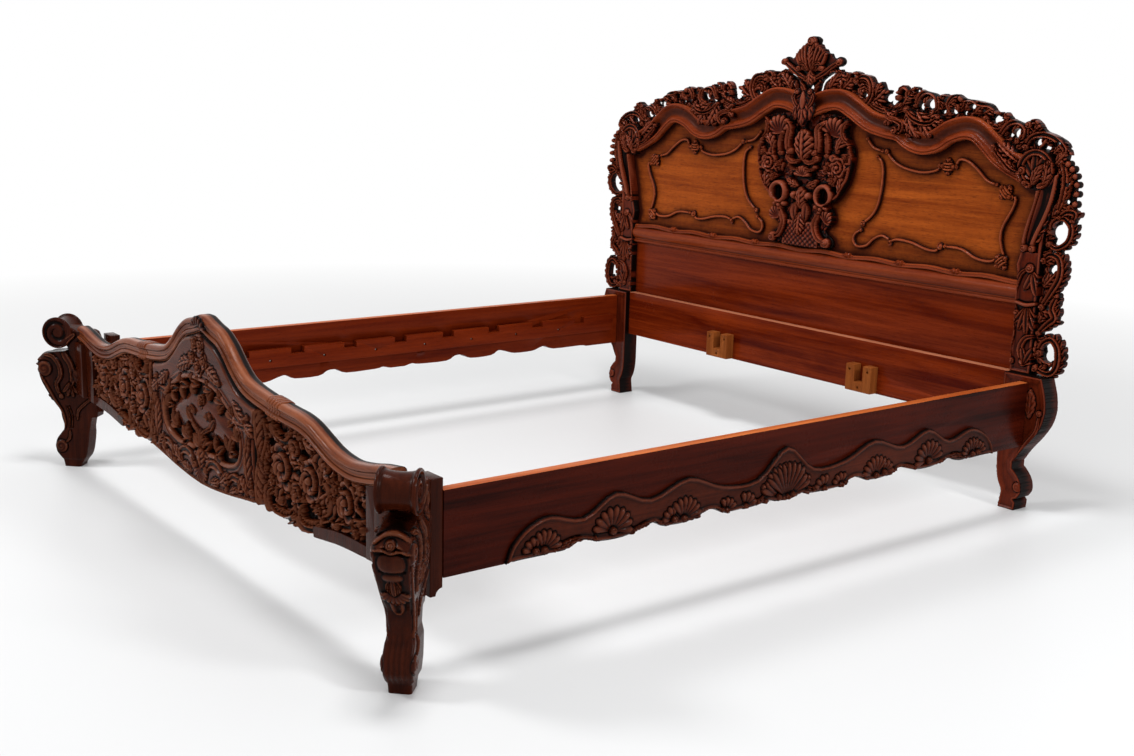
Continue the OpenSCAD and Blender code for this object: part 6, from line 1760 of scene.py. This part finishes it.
def ribbon():
    """The wavy ribbon on the middle rail, with its knots."""
    x = np.linspace(-908, 908, 240)
    wavy = 705.5 + 3.2 * np.sin(math.pi * np.abs(x) / KNOT_PITCH * 2 - math.pi / 2)
    section = [(-7, 0), (6.5, 0), (7, 12), (6.2, 17), (3.6, 20.4), (0, 19), (-3.4, 21), (-6, 20), (-7, 16)]
    xyz, tone, faces = along(np.stack([x, wavy], 1), section, PANEL_Y)
    coil = turned([(2, -6), (6.4, -6), (7.6, -4), (6.6, -2.2), (7.8, 0), (6.6, 2.2), (7.6, 4), (6.4, 6),
        (2, 6)], 20)
    bud = turned([(1, -7), (4.6, -5), (6.6, -1), (6.2, 3), (3.6, 6), (1, 7)], 18)
    coils, buds = [], []
    for k in (-3, -2, -1, 1, 2, 3):
        x, z = k * KNOT_PITCH, 709
        for dx in (-7, 7):
            coils.append(((x + dx, PANEL_Y - 17, z), (0, 90 - dx * 3, 0), (1.15, 1.15, 0.9)))
        buds.append(((x, PANEL_Y - 21, z + 1), (90, 0, 0), (0.85, 0.85, 0.85)))
        for dx in (-20, 20):
            buds.append(((x + dx, PANEL_Y - 18, z - 1), (90, 0, 0), (0.7, 0.7, 0.6)))
    knots, knot_faces = joined([repeated(coils, coil), repeated(buds, bud)])
    points, everything = joined([(xyz, faces), (knots * MM, knot_faces)])
    # The knots take a tone a little lighter than level: a faint painted highlight
    shade = np.concatenate([tone, np.full(len(knots), 0.35)])
    add_piece("knotted_ribbon", points, everything, ["head_ribbon"], arch_wood, 40, shade)


def cap_knots():
    """A band of ribs across each side's cap, where its wave dips."""
    section = np.array(CAP_SECTION) * 1.14
    at = int(np.argmin(np.abs(cap_path[:, 0] - 430)))
    ahead = cap_path[at + 1] - cap_path[at - 1]
    ahead = ahead / np.linalg.norm(ahead)
    for side, word in SIDES:
        parts = []
        for k in range(-2, 3):
            centre = cap_path[at] + ahead * k * 13
            path = [centre - ahead * 5.4, centre - ahead * 3.4, centre + ahead * 3.4, centre + ahead * 5.4]
            points, faces = moulding(path, section * (1 - 0.01 * abs(k)))
            m = len(section)
            for end, base in ((slice(0, m), path[0]), (slice(3 * m, 4 * m), path[3])):
                points[end, :2] = base + (points[end, :2] - base) * 0.94
                points[end, 2] *= 0.94
            parts.append((points, faces))
        points, faces = joined(parts)
        add_piece(f"cap_knot_{word}", front_of(FOOT_Y, side)(*points[:, :3].T), faced(faces, side), (),
            cap_wood, 40, np.full(len(points), 0.42))


def screw_shape(length):
    """A screw along +Z with a domed head at its foot, and its slot as a dark block in the head: painted
    shade for the cut.
    """
    shank, head, rise = 2, 4.4, 2.6
    body = turned([(head * 0.3, -rise), (head * 0.7, -rise * 0.82), (head * 0.94, -rise * 0.4), (head, 0),
        (shank, 0), (shank, length - 2), (0.3, length)], 20)
    slot = [(x, y, z) for z in (-rise - 0.05, -rise + 0.9) for x, y in
        ((-head * 0.8, -0.55), (head * 0.8, -0.55), (head * 0.8, 0.55), (-head * 0.8, 0.55))]
    return body, (slot, [[3, 2, 1, 0], [4, 5, 6, 7], [0, 1, 5, 4], [1, 2, 6, 5], [2, 3, 7, 6], [3, 0, 4, 7]])


def screws():
    """Each group of screws, with the dark slots of their heads as a second shape."""
    random = np.random.default_rng(5)

    def aimed(angle, axis):
        """Turns by which a screw along +Z points another way, with its slot at a chance angle."""
        slot = Matrix.Rotation(random.uniform(0, math.pi), 3, "Z")
        return [math.degrees(a) for a in (Matrix.Rotation(math.radians(angle), 3, axis) @ slot).to_euler()]

    bracket = [((s * 350 + dx * 110, 2118 - 18 - MID_Y, 257 + dz * 92), aimed(-90, "X"), (1, 1, 1))
        for s in (-1, 1) for dx, dz in ((-0.36, 0.8), (0.36, 0.8), (0, 0.16))]
    pitch = (RAIL_L - 80) / 9 * 0.93
    seat = RAIL_IN - 24 + 6
    ledger = [((s * seat, RAIL_L / 2 + (k - 3.5) * pitch - MID_Y, 296), aimed(s * 90, "Y"), (1, 1, 1))
        for s in (-1, 1) for k in range(8)]
    for name, places, length in (("bracket_screw", bracket, 40), ("ledger_screw", ledger, 33)):
        body, slot = (repeated(places, shape) for shape in screw_shape(length))
        add_piece(name + "_set", body[0] * MM, body[1], [name + "s"], steel, 35)
        add_piece(name + "_set_slots", slot[0] * MM, slot[1], (), slot_painted_shade, 35)


def rail_face(face):
    """Which finish a face of a side rail takes: the second, paler with wear and painted light, on top, the
    third on the inside.
    """
    if face.normal.z > 0.55 and face.center.z > 0.4:
        return 1
    return 2 if face.normal.x * face.center.x < 0 else 0


def ledge_face(face):
    """The second finish, paler with wear and painted light, for the top of the bottom rail's ledge."""
    return int(face.normal.z > 0.55 and face.center.z > 0.42)


boards()
foot_legs()
mouldings()
ribbon()
cap_knots()
screws()
worn(["head_lower_panel"], plain_deep, 1.6)
worn(["side_rail_left", "side_rail_right"], rail_wood, 2.2, (rail_top, inner_rail), rail_face)
worn(["head_bottom_rail"], plain_deep, 2.2, (ledge_edge,), ledge_face)
worn(["slat_ledger_left", "slat_ledger_right"], inner_rail, 1.6)
worn(["beam_bracket_left", "beam_bracket_right"], bracket_wood, 1.8)
worn(["foot_post_left", "foot_post_right", "foot_stile_left", "foot_stile_right", "foot_bottom_rail_left",
    "foot_bottom_rail_right"], foot_upright, 2)

# Nodes whose shape is already right get their finish
for name in ("rail_hook_plates", "post_catch_plates", "plate_screws"):
    mesh = frame["nodes"][name].data
    mesh.materials.clear()
    mesh.materials.append(steel)


# Camera, lamps and floor

# The photograph's view, in metres and radians, and its focal length in pixels of its own width
VIEW_AZIMUTH, VIEW_ELEVATION, VIEW_ROLL = (math.radians(a) for a in (52.3375, 12.0985, 1.4681))
VIEW_FROM = (3.429, -1.5486 - MID_Y * MM, 1.2769)
FOCAL_PX, PHOTO_WIDTH_PX = 1392.26, 1134
SENSOR_MM = 36
FLOOR_REACH = 40


def camera():
    """The photograph's own viewing angle."""
    level = math.cos(VIEW_ELEVATION)
    back = Vector((math.sin(VIEW_AZIMUTH) * level, -math.cos(VIEW_AZIMUTH) * level,
        math.sin(VIEW_ELEVATION)))
    right = (-back).cross(Vector((0, 0, 1))).normalized()
    up = right.cross(-back)
    c, s = math.cos(VIEW_ROLL), math.sin(VIEW_ROLL)
    data = bpy.data.cameras.new("camera")
    data.lens = FOCAL_PX / PHOTO_WIDTH_PX * SENSOR_MM
    data.sensor_width = SENSOR_MM
    data.clip_end = 100
    made = new_object("camera", data)
    made.matrix_world = Matrix((right * c + up * s, up * c - right * s, back)).transposed().to_4x4()
    made.location = VIEW_FROM
    bpy.context.scene.camera = made


def lamp(name, place, target, size, power):
    """A soft rectangular lamp that points at a target."""
    data = bpy.data.lights.new(name, "AREA")
    data.shape = "RECTANGLE"
    data.size, data.size_y = size
    data.energy = power
    made = new_object(name, data)
    made.location = place
    made.rotation_mode = "QUATERNION"
    made.rotation_quaternion = (Vector(target) - Vector(place)).to_track_quat("-Z", "Y")


def seen(tree):
    """One where the camera, a reflection or clear glass looks, and zero where light falls."""
    path = node(tree, "LightPath", {})
    direct = maths(tree, "MAXIMUM", path["Is Camera Ray"], path["Is Glossy Ray"])
    return maths(tree, "MAXIMUM", direct, path["Is Transmission Ray"])


def floor():
    """A plain pale floor that keeps the bed's shadow and fades into the white background."""
    mesh = bpy.data.meshes.new("studio_floor")
    r = FLOOR_REACH
    mesh.from_pydata([(-r, -r, 0), (r, -r, 0), (r, r, 0), (-r, r, 0)], [], [(0, 1, 2, 3)])
    made = new_object("studio_floor", mesh)
    material, tree, shader = new_material("pale studio floor")
    fill(tree, shader, {"Base Color": (0.72, 0.725, 0.73, 1), "Roughness": 0.5})
    away = node(tree, "VectorMath", {0: node(tree, "TexCoord", {})["Object"]}, operation="LENGTH")["Value"]
    share = times(tree, levels(tree, away, 1.6, 5.5), seen(tree))
    white = node(tree, "Emission", {})[0]
    blend = node(tree, "MixShader", {0: share, 1: shader.outputs[0], 2: white})[0]
    tree.links.new(blend, tree.nodes["Material Output"].inputs["Surface"])
    mesh.materials.append(material)


def world():
    """White to the camera and in reflections, and a soft even light on the object."""
    made = bpy.data.worlds.new("studio")
    bpy.context.scene.world = made
    made.use_nodes = True
    tree = made.node_tree
    tree.nodes.clear()
    strength = levels(tree, seen(tree), 0, 1, 0.55, 1.0)
    light = node(tree, "Background", {"Color": (1, 1, 1, 1), "Strength": strength})
    node(tree, "OutputWorld", {"Surface": light[0]})


camera()
world()
floor()
lamp("window", (-2.5, -4.5, 4.2), (0, 0.2, 0.5), (1.4, 1.0), 155)
lamp("ceiling", (0.6, -0.4, 5.0), (0, 0.3, 0.4), (1.3, 1.3), 122)
lamp("side", (5.0, 0.8, 3.0), (0, 0.2, 0.6), (0.9, 1.2), 95)
bpy.context.scene.view_settings.view_transform = "Standard"
